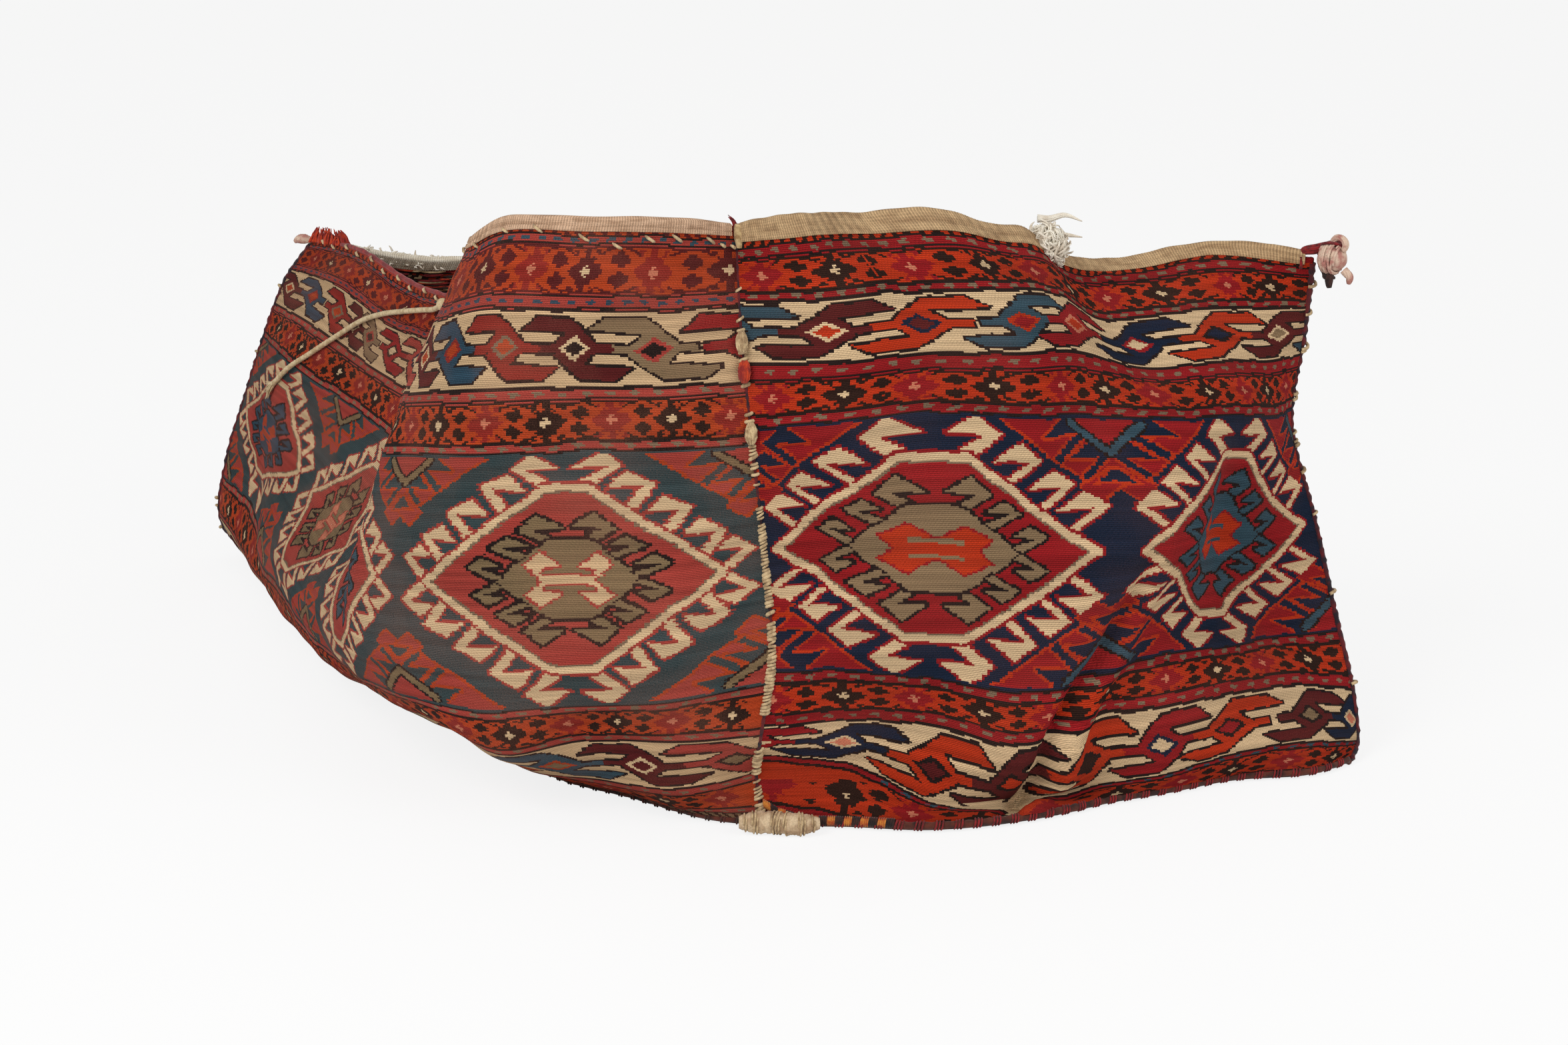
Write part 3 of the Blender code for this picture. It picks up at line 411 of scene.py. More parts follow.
def medallion(cloth, x, y, look, number):
    """Hooked hexagon with a hooked medallion and a heart in it."""
    wide, high, flat, kx, ky = look['hexagon']
    hook, tail, top = look['hooks_on_ring']
    around = [(hook, flat + share * (wide - flat) + 1.8, high * (1 - share) + 2.75) for share in look['hook_shares']]
    around += [(tail, wide, 0)] if tail else []
    around.append((top, flat + 1.7, high + 3))
    for mx, my in four_ways():
        for form, px, py in around:
            cloth.shape(placed(form, x + mx * px, y + my * py, -mx * kx, -my * ky), 'cream', look['red'], 2.0)
    ring = placed(hexagon(wide, high, flat), x, y)
    cloth.fill(ring, look['red'])
    cloth.stroke(ring, 10.8, look['red'])
    cloth.stroke(ring, 6.6, 'cream')
    cloth.stroke(placed(ring, x * 0.045, y * 0.045, 0.955, 0.955), 1.6, 'ash')

    inner, heart, mark = look['inner'][number % len(look['inner'])]
    body_wide, body_high, body_flat, size = look['inner_size']
    body = placed(hexagon(kx * body_wide, ky * body_high, kx * body_flat), x, y)
    cloth.shape(body, inner, 'dark', look['outline'])
    for mx, my in four_ways(kx, ky):
        feet = [(INNER_TOP, x + mx * body_flat, y + my * body_high)]
        feet += [(INNER_HOOK, x + mx * (body_flat + (body_wide - body_flat) * share), y + my * body_high * (1 - share))
                 for share in (0.42, 0.92)]
        for form, px, py in feet:
            cloth.shape(placed(form, px, py, -mx * size, -my * size), inner, 'dark', look['outline'])
    cloth.fill(placed(body, x * 0.03, y * 0.03, 0.97, 0.97), inner)
    core = look['core']
    cloth.shape(placed(mirrored_ring(core), x, y, kx, ky), heart, look['red'], 1.6)
    if core is CORE:
        for low, high in ((-8.5, -4.5), (4.5, 7.5)):
            cloth.fill(placed(((-21.6, low), (21.6, low), (21.6, high), (-21.6, high)), x, y, kx, ky), mark)


def spandrel(cloth, x, y, my, look):
    """Half of a hooked lozenge that hangs from the field's edge."""
    _, _, _, kx, ky = look['hexagon']
    kx *= look['spandrel'][0]
    ky *= look['spandrel'][1]
    for mx in (-1, 1):
        foot = (x - mx * 5 * kx, y + my * 37 * ky)
        cloth.shape(placed(HOOK, *foot, mx * kx * 0.8, -my * ky * 0.85), look['red'], look['orange'], 2.0)
    body = ((-101, -6), (-22, 47), (-4, 37), (4, 37), (22, 47), (101, -6))
    cloth.shape(placed(body, x, y, kx, my * ky), look['red'], look['orange'], 2.2)
    for mx in (-1, 1):
        for px, py, size in ((-46, 32, 1.1), (-25, 45, 0.88)):
            foot = (x + mx * px * kx, y + my * py * ky)
            cloth.shape(placed(HOOK, *foot, -mx * kx * size, my * ky * size), look['ground'], look['orange'], 2.0)
    if x >= look['bars_from']:
        bar = placed(((-31, 5), (0, 27), (31, 5)), x, y, kx, my * ky)
        cloth.stroke(bar, 9.0, 'dark', closed=False)
        cloth.stroke(bar, 5.2, look['bar'], closed=False)


def rosette_border(cloth, top, bottom, places, look, first, dark):
    """Ground with rosettes by turns of two colours, and pairs of flecks and arcs between them."""
    middle = (top + bottom) / 2
    ky = (bottom - top) / ROSETTE_BAND
    cloth.band(top, bottom, look['orange'])
    places = list(places)
    gaps = np.diff(places)
    for i, x in enumerate(places):
        kx = gaps[min(i, len(gaps) - 1)] / ROSETTE_REPEAT
        between = x + kx * ROSETTE_REPEAT / 2
        for mx, my in four_ways(kx, ky):
            cloth.fill(placed(FLECK, between, middle + my * 5.6, mx, my), dark)
            cloth.stroke(placed(ARC, between, middle, mx, my), 1.7, dark, closed=False)
    for i, x in enumerate(places):
        kx = gaps[min(i, len(gaps) - 1)] / ROSETTE_REPEAT
        red = (i + first) % 2 == 0
        star = look['flower'] if red else dark
        cloth.fill(placed(mirrored_ring(ROSETTE), x, middle, kx, ky), star)
        for mx, my in four_ways(kx, ky):
            cloth.fill(placed(((-11, -7.5), (-15, -11), (-8.5, -11)), x, middle, mx, my), star)
        cloth.fill(placed(mirrored_ring(ROSETTE_HEART), x, middle, kx, ky), 'pink' if red else 'cream')
    cloth.line(top + 0.6, 1.4, dark)
    cloth.line(bottom - 0.6, 1.4, dark)


def guard(cloth, top, bottom, look, dash, pitch, shift=0.0):
    """Narrow stripe with a row of dashes between two dark lines."""
    cloth.band(top, bottom, look['red'])
    cloth.line(top + 0.7, 1.6, 'dark')
    cloth.line(bottom - 0.7, 1.6, 'dark')
    middle = (top + bottom) / 2
    x = cloth.column_x[0] + shift
    while x < cloth.column_x[-1]:
        cloth.fill(placed(((-4.6, 0.6), (-2, -1.9), (4.4, -1.5), (2, 2.0)), x, middle), dash)
        x += pitch


def hook_band(cloth, top, bottom, places, dyes, look):
    """Pale band of linked double hooks with a lozenge in the middle of each."""
    middle = (top + bottom) / 2
    ky = (bottom - top) / HOOK_BAND
    cloth.band(top, bottom, look['cream'])
    whole = list(MOTIF) + [(-x, -y) for x, y in MOTIF]
    scales = np.gradient(places) / HOOK_REPEAT
    for x, kx in zip(places, scales):
        cloth.stroke(placed(whole, x, middle, kx, ky), 4.0, 'dark')
    for i, (x, kx) in enumerate(zip(places, scales)):
        body, ring, heart = dyes[i % len(dyes)]
        cloth.fill(placed(whole, x, middle, kx, ky), body)
        cloth.fill(placed(LOZENGE, x, middle, kx, ky), ring)
        cloth.fill(placed(LOZENGE, x, middle, kx * 0.68, ky * 0.62), heart)
    cloth.line(top + 0.6, 1.7, 'dark')
    cloth.line(bottom - 0.6, 1.7, 'dark')


def paint(cloth, look):
    """All bands of a wall, from the rim to the foot."""
    width = cloth.column_x[-1]
    cloth.band(ABOVE_ALL, BELOW_ALL, look['red'])
    field_top, field_bottom = look['field']
    cloth.band(field_top, field_bottom, look['ground'])
    count = look['repeats']
    for i in range(count + 1):
        spandrel(cloth, width * i / count, field_top, 1, look)
        spandrel(cloth, width * i / count, field_bottom, -1, look)
    for i in range(count):
        medallion(cloth, width * (i + 0.5) / count, (field_top + field_bottom) / 2, look, i)
    cloth.band(ABOVE_ALL, field_top, look['red'])
    cloth.band(field_bottom, BELOW_ALL, look['red'])
    cloth.line(field_top + 0.8, 2.4, look['ground'])
    cloth.line(field_bottom - 0.8, 2.4, look['ground'])
    for part in (look['upper'], look['lower']):
        for number, (top, bottom, dash, pitch) in enumerate(part['guards']):
            guard(cloth, top, bottom, look, dash, pitch, 7.0 * number)
        for top, bottom, places, first, dark in part['borders']:
            rosette_border(cloth, top, bottom, places, look, first, dark)
        top, bottom, places, dyes = part['hooks']
        hook_band(cloth, top, bottom, places, dyes, look)
    for low, high, pale, dark in look['twined']:
        cloth.band(low, high, dark)
        slant = (high - low) * 0.7
        for x in np.arange(0.0, width, TWINE_PITCH):
            cloth.fill(((x, high), (x + slant, low), (x + TWINE_WIDE + slant, low), (x + TWINE_WIDE, high)), pale)
    cloth.band(look['twined'][-1][1], BELOW_ALL, 'brown')


def spaced(first, pitch, last):
    return list(np.arange(first, last + pitch, pitch))


def shares(width, *places):
    return [width * place for place in places]


END_LOOK = {
    'whole': 512, 'repeats': 2, 'ground': 'navy', 'red': 'crimson', 'orange': 'orange', 'cream': 'cream',
    'flower': 'crimson', 'bar': 'steel', 'hexagon': (124, 70, 24, 1.0, 1.0), 'spandrel': (1.0, 1.0),
    'hook_shares': (0.28, 0.55, 0.79), 'hooks_on_ring': (HOOK, None, TOP_HOOK), 'inner_size': (65, 34, 20, 1.0),
    'bars_from': 1, 'core': CORE, 'outline': 2.2,
    'inner': (('olive', 'orange', 'olive'), ('steel', 'orange', 'steel')),
    'field': (153.6, 358.6), 'twined': ((12.0, 17.0, 'orange', 'brown'), (507.0, 512.5, 'gold', 'dark')),
    'upper': {
        'guards': ((17, 26, 'ash', 18), (51, 58, 'ash', 18), (108, 120, 'ash', 18), (145, 153.6, 'ash', 18)),
        'borders': ((27, 51, (22, 87, 157, 216, 263, 314, 365, 423, 484, 524, 575), 0, 'brown'),
                    (121, 145, (22, 76, 125, 181, 239, 288, 335, 395, 442, 479, 525, 575), 0, 'brown')),
        'hooks': (58, 108, shares(560, -0.02, 0.115, 0.245, 0.388, 0.496, 0.647, 0.8, 0.931, 1.06),
                  (('steel', 'dark', 'navy'), ('maroon', 'cream', 'orange'), ('orange', 'navy', 'maroon'),
                   ('steel', 'orange', 'crimson'), ('crimson', 'pink', 'orange'), ('navy', 'crimson', 'cream'),
                   ('orange', 'dark', 'navy'), ('maroon', 'cream', 'olive'), ('steel', 'orange', 'crimson')))},
    'lower': {
        'guards': ((497, 507, 'steel', 18), (454, 461, 'steel', 18), (392, 404, 'ash', 18), (358.6, 367, 'ash', 18)),
        'borders': ((461, 497, spaced(16, 55.5, 580), 0, 'brown'), (367, 392, spaced(12, 56, 580), 0, 'brown')),
        'hooks': (404, 454, shares(560, 0, 0.12, 0.245, 0.36, 0.48, 0.60, 0.72, 0.87, 0.975, 1.09),
                  (('crimson', 'cream', 'navy'), ('navy', 'cream', 'pink'), ('orange', 'dark', 'maroon'),
                   ('maroon', 'dark', 'orange'), ('orange', 'dark', 'brown'), ('crimson', 'navy', 'cream'),
                   ('orange', 'dark', 'crimson'), ('maroon', 'dark', 'olive'), ('navy', 'cream', 'pink'),
                   ('orange', 'dark', 'brown')))},
}
LONG_LOOK = {
    'whole': 554, 'repeats': 4, 'ground': 'teal', 'red': 'salmon', 'orange': 'rust', 'cream': 'pale',
    'flower': 'brick', 'bar': 'moss', 'hexagon': (109, 70, 16, 1.0, 1.0), 'spandrel': (0.93, 0.888),
    'hook_shares': (0.27, 0.54, 0.81), 'hooks_on_ring': (LONG_HOOK, LONG_TAIL, LONG_TOP),
    'inner_size': (50.5, 30, 15.5, 0.88), 'bars_from': 0, 'core': LONG_CORE, 'outline': 2.6,
    'inner': (('moss', 'pale', 'moss'), ('steel', 'rust', 'steel'), ('moss', 'pink', 'moss'),
              ('blue', 'rust', 'blue')),
    'field': (178, 376), 'twined': ((9.5, 16.0, 'rust', 'maroon'), (538.0, 554.5, 'olive', 'brown')),
    'upper': {
        'guards': ((16, 24, 'steel', 14.5), (58, 69, 'blue', 14.5), (129, 138, 'ash', 18), (170, 178, 'ash', 18)),
        'borders': ((25, 57, [9, 78, 133, *spaced(178, 50, 1130)], 1, 'maroon'),
                    (139, 170, spaced(15, 46, 1130), 0, 'brown')),
        'hooks': (70, 129,
                  shares(1120, -0.01, 0.064, 0.118, 0.168, 0.22, 0.27, 0.325, 0.375, 0.43, 0.48, 0.53, 0.58,
                         0.63, 0.677, 0.725, 0.776, 0.809, 0.851, 0.915, 0.976, 1.04),
                  (('crimson', 'dark', 'cream'), ('olive', 'salmon', 'dark'), ('maroon', 'cream', 'dark'),
                   ('brick', 'ash', 'rust'), ('blue', 'brick', 'rust'), ('maroon', 'cream', 'rust'),
                   ('salmon', 'navy', 'cream')))},
    'lower': {
        'guards': ((530, 538, 'ash', 18), (485, 496, 'ash', 18), (416, 425, 'ash', 18), (376, 384, 'ash', 18)),
        'borders': ((496, 530, spaced(34, 56, 1130), 0, 'brown'), (384, 416, spaced(23, 43.5, 1130), 1, 'brown')),
        'hooks': (425, 485, spaced(17, 77, 1150),
                  (('salmon', 'dark', 'moss'), ('maroon', 'cream', 'maroon'), ('steel', 'rust', 'moss'),
                   ('rust', 'dark', 'brown'), ('moss', 'cream', 'maroon'), ('brick', 'navy', 'pale')))},
}
# Where the bands of the right wall lie near its foot: for each woven level, its place down at each share across
FOOT_TOP, FOOT_END = 367, 530
END_FOOT_ACROSS = (0, 0.08, 0.15, 0.25, 0.33, 0.4, 0.5, 0.6, 0.7, 0.8, 0.9, 1)
END_FOOT = {404: (398, 399, 400, 398, 396, 394, 394, 397, 400, 402, 403, 404),
            454: (430, 440, 451, 464, 478, 477, 469, 464, 457, 454, 459, 462),
            461: (438, 447, 459, 471, 486, 485, 477, 471, 464, 461, 466, 469),
            497: (488, 494, 505, 516, 528, 528, 518, 510, 503, 500, 503, 505)}
# How much higher the woven bands lie beside the near seam and by the right corner, as shares across, sizes,
# levels down and strengths; and how far the field slants sideways
END_DRIFT = (
    ((0, 0.08, 0.2, 0.3), (11, 11, 4, 0), (108, 150, 220, 300, 350, 395), (0, 0.35, 0.95, 1, 0.75, 0.1)),
    ((0.62, 0.8, 1), (0, 7, 7.5), (0, 60, 120, 170), (1, 0.9, 0.6, 0)))
END_SLANT = ((150, 256, 350, 400), (4.5, 4.5, 11, 5), (0.0, 0.48, 0.62), (1, 1, 0))
END_DOWN = ((0, 0.118, 0.213, 0.311, 0.38, 0.505, 0.63, 0.697, 1), (0, 58, 108, 153.6, 187.7, 256, 325, 358.6, 508))
LONG_DOWN = ((0, 0.0364, 0.1036, 0.127, 0.245, 0.328, 0.37, 0.51, 0.645, 0.702, 0.79, 0.89, 1),
             (4, 25, 57, 70, 133, 178, 202, 277, 352, 376, 425, 486, 550))


def wobble(x, y, size, seed):
    """Slow uneven drift of hand work, from seven waves."""
    waves = np.random.default_rng(seed)
    out = np.zeros_like(x)
    for _ in range(7):
        length = waves.uniform(25, 140)
        angle = waves.uniform(0, math.tau)
        out += np.sin((x * math.cos(angle) + y * math.sin(angle)) * math.tau / length + waves.uniform(0, math.tau))
    return out * size / 2.6


def stitched(look, table, width_mm, seed, foot=None):
    """Dye number of every stitch of a wall."""
    columns = int(width_mm / STITCH_WIDE)
    rows = int(look['whole'] / STITCH_HIGH)
    across = (np.arange(columns) + 0.5) / columns
    down = (np.arange(rows) + 0.5) / rows
    x, y = np.meshgrid(across * width_mm, np.interp(down, *table))
    if foot:
        x_shares, levels = foot
        woven = np.array([FOOT_TOP, *levels, FOOT_END], float)
        for i, a in enumerate(across):
            lying = [FOOT_TOP] + [np.interp(a, x_shares, places) for places in levels.values()]
            lying.append(lying[-1] + FOOT_END - max(levels))
            y[:, i] = np.where(y[:, i] > FOOT_TOP, np.interp(y[:, i], lying, woven), y[:, i])
        drift = sum(np.interp(x / width_mm, *sideways) * np.interp(y, levels, sizes)
                    for *sideways, levels, sizes in END_DRIFT)
        levels, sizes, *window = END_SLANT
        x = x + np.interp(y, levels, sizes, left=0) * np.interp(x / width_mm, *window)
        y = y + drift
    jitter = np.random.default_rng(seed + 2).normal(0.0, 0.7, (rows, 1))
    cloth = Cloth(x + wobble(x, y, 1.1, seed) + jitter, y + wobble(x, y, 0.9, seed + 1), look['red'])
    paint(cloth, look)
    return cloth.dye


def blocks(cells, most_wide, most_high):
    """Joins equal neighbouring stitches into rectangles: column, row, width, height."""
    rows, columns = cells.shape
    grid = cells.tolist()
    used = [[False] * columns for _ in range(rows)]
    out = []
    for j in range(rows):
        row, taken = grid[j], used[j]
        i = 0
        while i < columns:
            if taken[i]:
                i += 1
                continue
            dye = row[i]
            wide = 1
            while wide < most_wide and i + wide < columns and row[i + wide] == dye and not taken[i + wide]:
                wide += 1
            high = 1
            while high < most_high and j + high < rows:
                below, below_used = grid[j + high][i:i + wide], used[j + high][i:i + wide]
                if any(below_used) or below.count(dye) != wide:
                    break
                high += 1
            for k in range(j, j + high):
                used[k][i:i + wide] = [True] * wide
            out.append((i, j, wide, high))
            i += wide
    return out


def crease_depth(x, y, creases):
    """How far narrow creases press the cloth in or out, in metres."""
    out = np.zeros_like(x)
    for points, width, depth in creases:
        best = np.full(x.shape, 1e9)
        share = np.zeros_like(x)
        for i, ((x0, y0), (x1, y1)) in enumerate(zip(points, points[1:])):
            dx, dy = x1 - x0, y1 - y0
            t = np.clip(((x - x0) * dx + (y - y0) * dy) / (dx * dx + dy * dy), 0, 1)
            far = np.hypot(x - x0 - t * dx, y - y0 - t * dy)
            share = np.where(far < best, (i + t) / (len(points) - 1), share)
            best = np.minimum(best, far)
        out += depth * np.exp(-(best / width) ** 2) * np.clip(share * 2.2, 0, 1) ** 1.5
    return out


def woven_piece(name, wall, cells, width_mm, height_mm, side, mat, seed, most):
    """One face of a wall's cloth, a face for each block of equal stitches."""
    rows, columns = cells.shape
    across = np.linspace(0, 1, columns + 1)
    down = np.linspace(0, 1, rows + 1)
    points = wall.lattice(across, down)
    du = np.gradient(points, axis=1)
    dv = np.gradient(points, axis=0)
    normals = unit(np.cross(dv, du)) * wall.turn
    x, y = np.meshgrid(across * width_mm, down * height_mm)
    edge = np.minimum(np.minimum(x, width_mm - x), np.minimum(y, height_mm - y))
    inner = np.clip(edge / 30, 0, 1)
    lift = wobble(x * 0.6, y, 0.0011, seed) * inner + crease_depth(x, y, wall.creases)
    lift = lift + side * CLOTH_HALF * (0.3 + 0.7 * np.clip(edge / 7, 0, 1))
    points = points + normals * lift[..., None]
    du = np.gradient(points, axis=1)
    dv = np.gradient(points, axis=0)
    normals = unit(np.cross(dv, du)) * wall.turn * side

    rects = blocks(cells, *most)
    marked = np.zeros((rows + 1, columns + 1), bool)
    for i, j, wide, high in rects:
        marked[j, i] = marked[j + high, i] = marked[j, i + wide] = marked[j + high, i + wide] = True
    number = np.full(marked.shape, -1)
    number[marked] = np.arange(marked.sum())
    across_marks = [np.flatnonzero(row) for row in marked]
    down_marks = [np.flatnonzero(column) for column in marked.T]

    def between(marks, low, high):
        return marks[np.searchsorted(marks, low):np.searchsorted(marks, high)]

    faces = []
    dyes = []
    forward = (wall.turn * side) < 0
    for i, j, wide, high in rects:
        top = number[j, between(across_marks[j], i, i + wide)]
        far = number[between(down_marks[i + wide], j, j + high), i + wide]
        bottom = number[j + high, between(across_marks[j + high], i + 1, i + wide + 1)][::-1]
        near = number[between(down_marks[i], j + 1, j + high + 1), i][::-1]
        loop = np.concatenate([top, far, bottom, near])
        faces.append((loop if forward else loop[::-1]).tolist())
        dyes.append(cells[j, i])
    mesh = mesh_of(name, points[marked].tolist(), faces, mat)
    palette = np.array([(*rgb, 255) for rgb in DYES.values()], np.float32) / 255
    colours = mesh.color_attributes.new(name='Dye', type='BYTE_COLOR', domain='CORNER')
    sizes = [len(face) for face in faces]
    colours.data.foreach_set('color_srgb', np.repeat(palette[np.array(dyes)], sizes, axis=0).ravel())
    lay_out(mesh, np.stack([x[marked], y[marked]], axis=-1), width_mm, height_mm)
    mesh.normals_split_custom_set_from_vertices(normals[marked].tolist())
    return shown(name, mesh)


# ---- materials ----

# Length of a weft wrap along its row, in millimetres; its lean and the next row's shift, in wraps
WRAP_LONG = 2.7
WRAP_LEAN = 0.75
WRAP_SHIFT = 0.43
# Plain weave of the hems, in millimetres
RIB_WIDE = 2.2
WEFT_HIGH = 1.1


class Shade:
    """A material built node by node."""

    def __init__(self, name, roughness=0.9):
        self.mat = bpy.data.materials.new(name)
        self.mat.use_nodes = True
        self.tree = self.mat.node_tree
        self.shader = self.tree.nodes['Principled BSDF']
        self.shader.inputs['Roughness'].default_value = roughness
        self.shader.inputs['Specular IOR Level'].default_value = 0.25

    def put(self, socket, value):
        if isinstance(value, bpy.types.NodeSocket):
            self.tree.links.new(value, socket)
        else:
            socket.default_value = value

    def math(self, operation, *values):
        node = self.tree.nodes.new('ShaderNodeMath')
        node.operation = operation
        for socket, value in zip(node.inputs, values):
            self.put(socket, value)
        return node.outputs[0]

    def times(self, first, second):
        return self.math('MULTIPLY', first, second)

    def lit(self, colour, light):
        return self.blend(1.0, colour, self.grey(light), 'MULTIPLY')

    def cloth_xy(self):
        uv = self.tree.nodes.new('ShaderNodeUVMap')
        uv.uv_map = 'Cloth'
        parts = self.tree.nodes.new('ShaderNodeSeparateXYZ')
        self.tree.links.new(uv.outputs[0], parts.inputs[0])
        return uv.outputs[0], parts.outputs[0], parts.outputs[1]

    def object_point(self):
        node = self.tree.nodes.new('ShaderNodeTexCoord')
        return node.outputs['Object']

    def scaled(self, vector, scale):
        node = self.tree.nodes.new('ShaderNodeMapping')
        self.tree.links.new(vector, node.inputs['Vector'])
        node.inputs['Scale'].default_value = scale
        return node.outputs[0]

    def noise(self, vector, scale, detail=2.0):
        node = self.tree.nodes.new('ShaderNodeTexNoise')
        self.tree.links.new(vector, node.inputs['Vector'])
        node.inputs['Scale'].default_value = scale
        node.inputs['Detail'].default_value = detail
        return node.outputs['Fac']

    def span(self, value, low, high, out_low, out_high):
        node = self.tree.nodes.new('ShaderNodeMapRange')
        for socket, number in zip(node.inputs, (value, low, high, out_low, out_high)):
            self.put(socket, number)
        return node.outputs[0]

    def blend(self, share, first, second, kind='MIX'):
        node = self.tree.nodes.new('ShaderNodeMix')
        node.data_type = 'RGBA'
        node.blend_type = kind
        self.put(node.inputs['Factor'], share)
        self.put(node.inputs['A'], first)
        self.put(node.inputs['B'], second)
        return node.outputs['Result']

    def grey(self, value):
        node = self.tree.nodes.new('ShaderNodeCombineColor')
        for socket in node.inputs:
            self.put(socket, value)
        return node.outputs[0]

    def dye(self):
        node = self.tree.nodes.new('ShaderNodeVertexColor')
        node.layer_name = 'Dye'
        return node.outputs[0]

    def finish(self, colour, height, distance, strength=0.7):
        bump = self.tree.nodes.new('ShaderNodeBump')
        bump.inputs['Distance'].default_value = distance
        bump.inputs['Strength'].default_value = strength
        self.put(bump.inputs['Height'], height)
        self.put(self.shader.inputs['Normal'], bump.outputs[0])
        self.put(self.shader.inputs['Base Color'], colour)
        return self.mat


def linear(rgb, alpha=1.0):
    out = [c / 255 for c in rgb]
    out = [c / 12.92 if c <= 0.04045 else ((c + 0.055) / 1.055) ** 2.4 for c in out]
    return (*out, alpha)


def wrapped_wool(name, fade):
    """Rows of slanting weft wraps, each row leaning like the last and set off by part of a wrap."""
    s = Shade(name)
    vector, x, y = s.cloth_xy()
    row = s.times(y, 1 / STITCH_HIGH)
    part = s.math('FRACT', row)
    lean = s.times(part, WRAP_LEAN)
    shift = s.times(s.math('FLOOR', row), WRAP_SHIFT)
    along = s.math('ADD', s.math('ADD', s.times(x, 1 / WRAP_LONG), lean), shift)
    wrap = s.math('ABSOLUTE', s.math('SINE', s.times(along, math.pi)))
    ridge = s.math('SINE', s.times(part, math.pi))
    relief = s.times(ridge, s.math('MULTIPLY_ADD', wrap, 0.5, 0.5))
    fibre = s.noise(s.scaled(vector, (0.5, 1.4, 1.0)), 1.7, 3.0)
    abrash = s.noise(s.scaled(vector, (0.006, 0.16, 1.0)), 1.0, 2.0)
    worn = s.noise(s.scaled(vector, (0.012, 0.014, 1.0)), 1.0, 3.0)
    # Painted shade and light: the colour darkens at the edges of each row and between wraps and brightens on their
    # tops; the fibre and abrash terms are the wool's own uneven tone
    light = s.times(s.span(relief, 0, 1, 0.55, 1.18), s.span(fibre, 0.25, 0.75, 0.74, 1.26))
    light = s.times(light, s.span(abrash, 0.3, 0.7, 0.76, 1.22))
    colour = s.lit(s.dye(), light)
    dust = s.span(s.times(worn, s.span(fibre, 0.3, 0.7, 0.6, 1.4)), 0.40, 0.75, 0.0, fade)
    colour = s.blend(dust, colour, linear((176, 120, 98)))
    s.shader.inputs['Specular IOR Level'].default_value = 0.10
    return s.finish(colour, s.math('MULTIPLY_ADD', fibre, 0.35, relief), 0.0009, 0.8)


def cloth_back(name):
    """Reverse of the wrapping: floats and cut ends in all the dyes over dark wool."""
    s = Shade(name, 0.95)
    vector, _, _ = s.cloth_xy()
    floats = s.noise(s.scaled(vector, (0.05, 0.45, 1.0)), 1.0, 3.0)
    specks = s.noise(vector, 0.9, 3.0)
    colour = s.blend(s.span(floats, 0.5, 0.62, 0.0, 0.75), s.dye(), linear((44, 30, 26)))
    colour = s.lit(colour, s.span(specks, 0.25, 0.75, 0.5, 1.2))
    relief = s.math('ADD', floats, s.times(specks, 0.8))
    return s.finish(colour, relief, 0.002, 0.9)


def ribbed(name, rgb, dirt):
    """Plain weave with upright ribs and uneven soiling."""
    s = Shade(name)
    vector, x, y = s.cloth_xy()
    rib = s.math('SINE', s.times(x, math.tau / RIB_WIDE))
    weft = s.math('SINE', s.times(y, math.tau / WEFT_HIGH))
    relief = s.math('MULTIPLY_ADD', weft, 0.35, rib)
    soil = s.noise(s.scaled(vector, (0.05, 0.25, 1.0)), 1.0, 3.0)
    fibre = s.noise(s.scaled(vector, (1.5, 0.7, 1.0)), 1.2, 3.0)
    colour = s.blend(s.span(soil, 0.42, 0.68, 0.0, 0.8), linear(rgb), linear(dirt))
    # Painted shade and light: the colour darkens in the grooves between ribs, and less between wefts, and brightens on
    # their tops; the fibre term is the cloth's own uneven tone
    light = s.times(s.span(relief, -1.3, 1.3, 0.62, 1.18), s.span(fibre, 0.3, 0.7, 0.82, 1.18))
    colour = s.lit(colour, light)
    return s.finish(colour, relief, 0.0005, 0.5)


def yarn(name, rgb, second, patch=220.0, fine=2200.0):
    """Loose or plied yarn: fibre noise in two shades."""
    s = Shade(name, 0.85)
    point = s.object_point()
    broad = s.noise(point, patch, 2.0)
    hair = s.noise(point, fine, 3.0)
    colour = s.blend(s.span(broad, 0.4, 0.62, 0.0, 1.0), linear(rgb), linear(second))
    colour = s.lit(colour, s.span(hair, 0.25, 0.75, 0.72, 1.18))
    s.shader.inputs['Sheen Weight'].default_value = 0.15
    return s.finish(colour, hair, 0.0004, 0.6)


def plain_cloth(name, rgb, second, size):
    """Coarse plain weave drawn from object space, for the base."""
    s = Shade(name)
    point = s.object_point()
    parts = s.tree.nodes.new('ShaderNodeSeparateXYZ')
    s.tree.links.new(point, parts.inputs[0])
    warp = s.math('SINE', s.times(parts.outputs[0], math.tau / size))
    weft = s.math('SINE', s.times(parts.outputs[1], math.tau / size))
    relief = s.times(warp, weft)
    stripe = s.noise(s.scaled(point, (9.0, 90.0, 1.0)), 1.0, 2.0)
    fibre = s.noise(point, 900.0, 3.0)
    colour = s.blend(s.span(stripe, 0.42, 0.6, 0.0, 1.0), linear(rgb), linear(second))
    # Painted shade and light: the colour darkens where the weave's relief is low and brightens where it is high; the
    # fibre term is the cloth's own uneven tone
    light = s.times(s.span(relief, -1, 1, 0.75, 1.1), s.span(fibre, 0.3, 0.7, 0.8, 1.2))
    colour = s.lit(colour, light)
    return s.finish(colour, relief, 0.0007, 0.6)


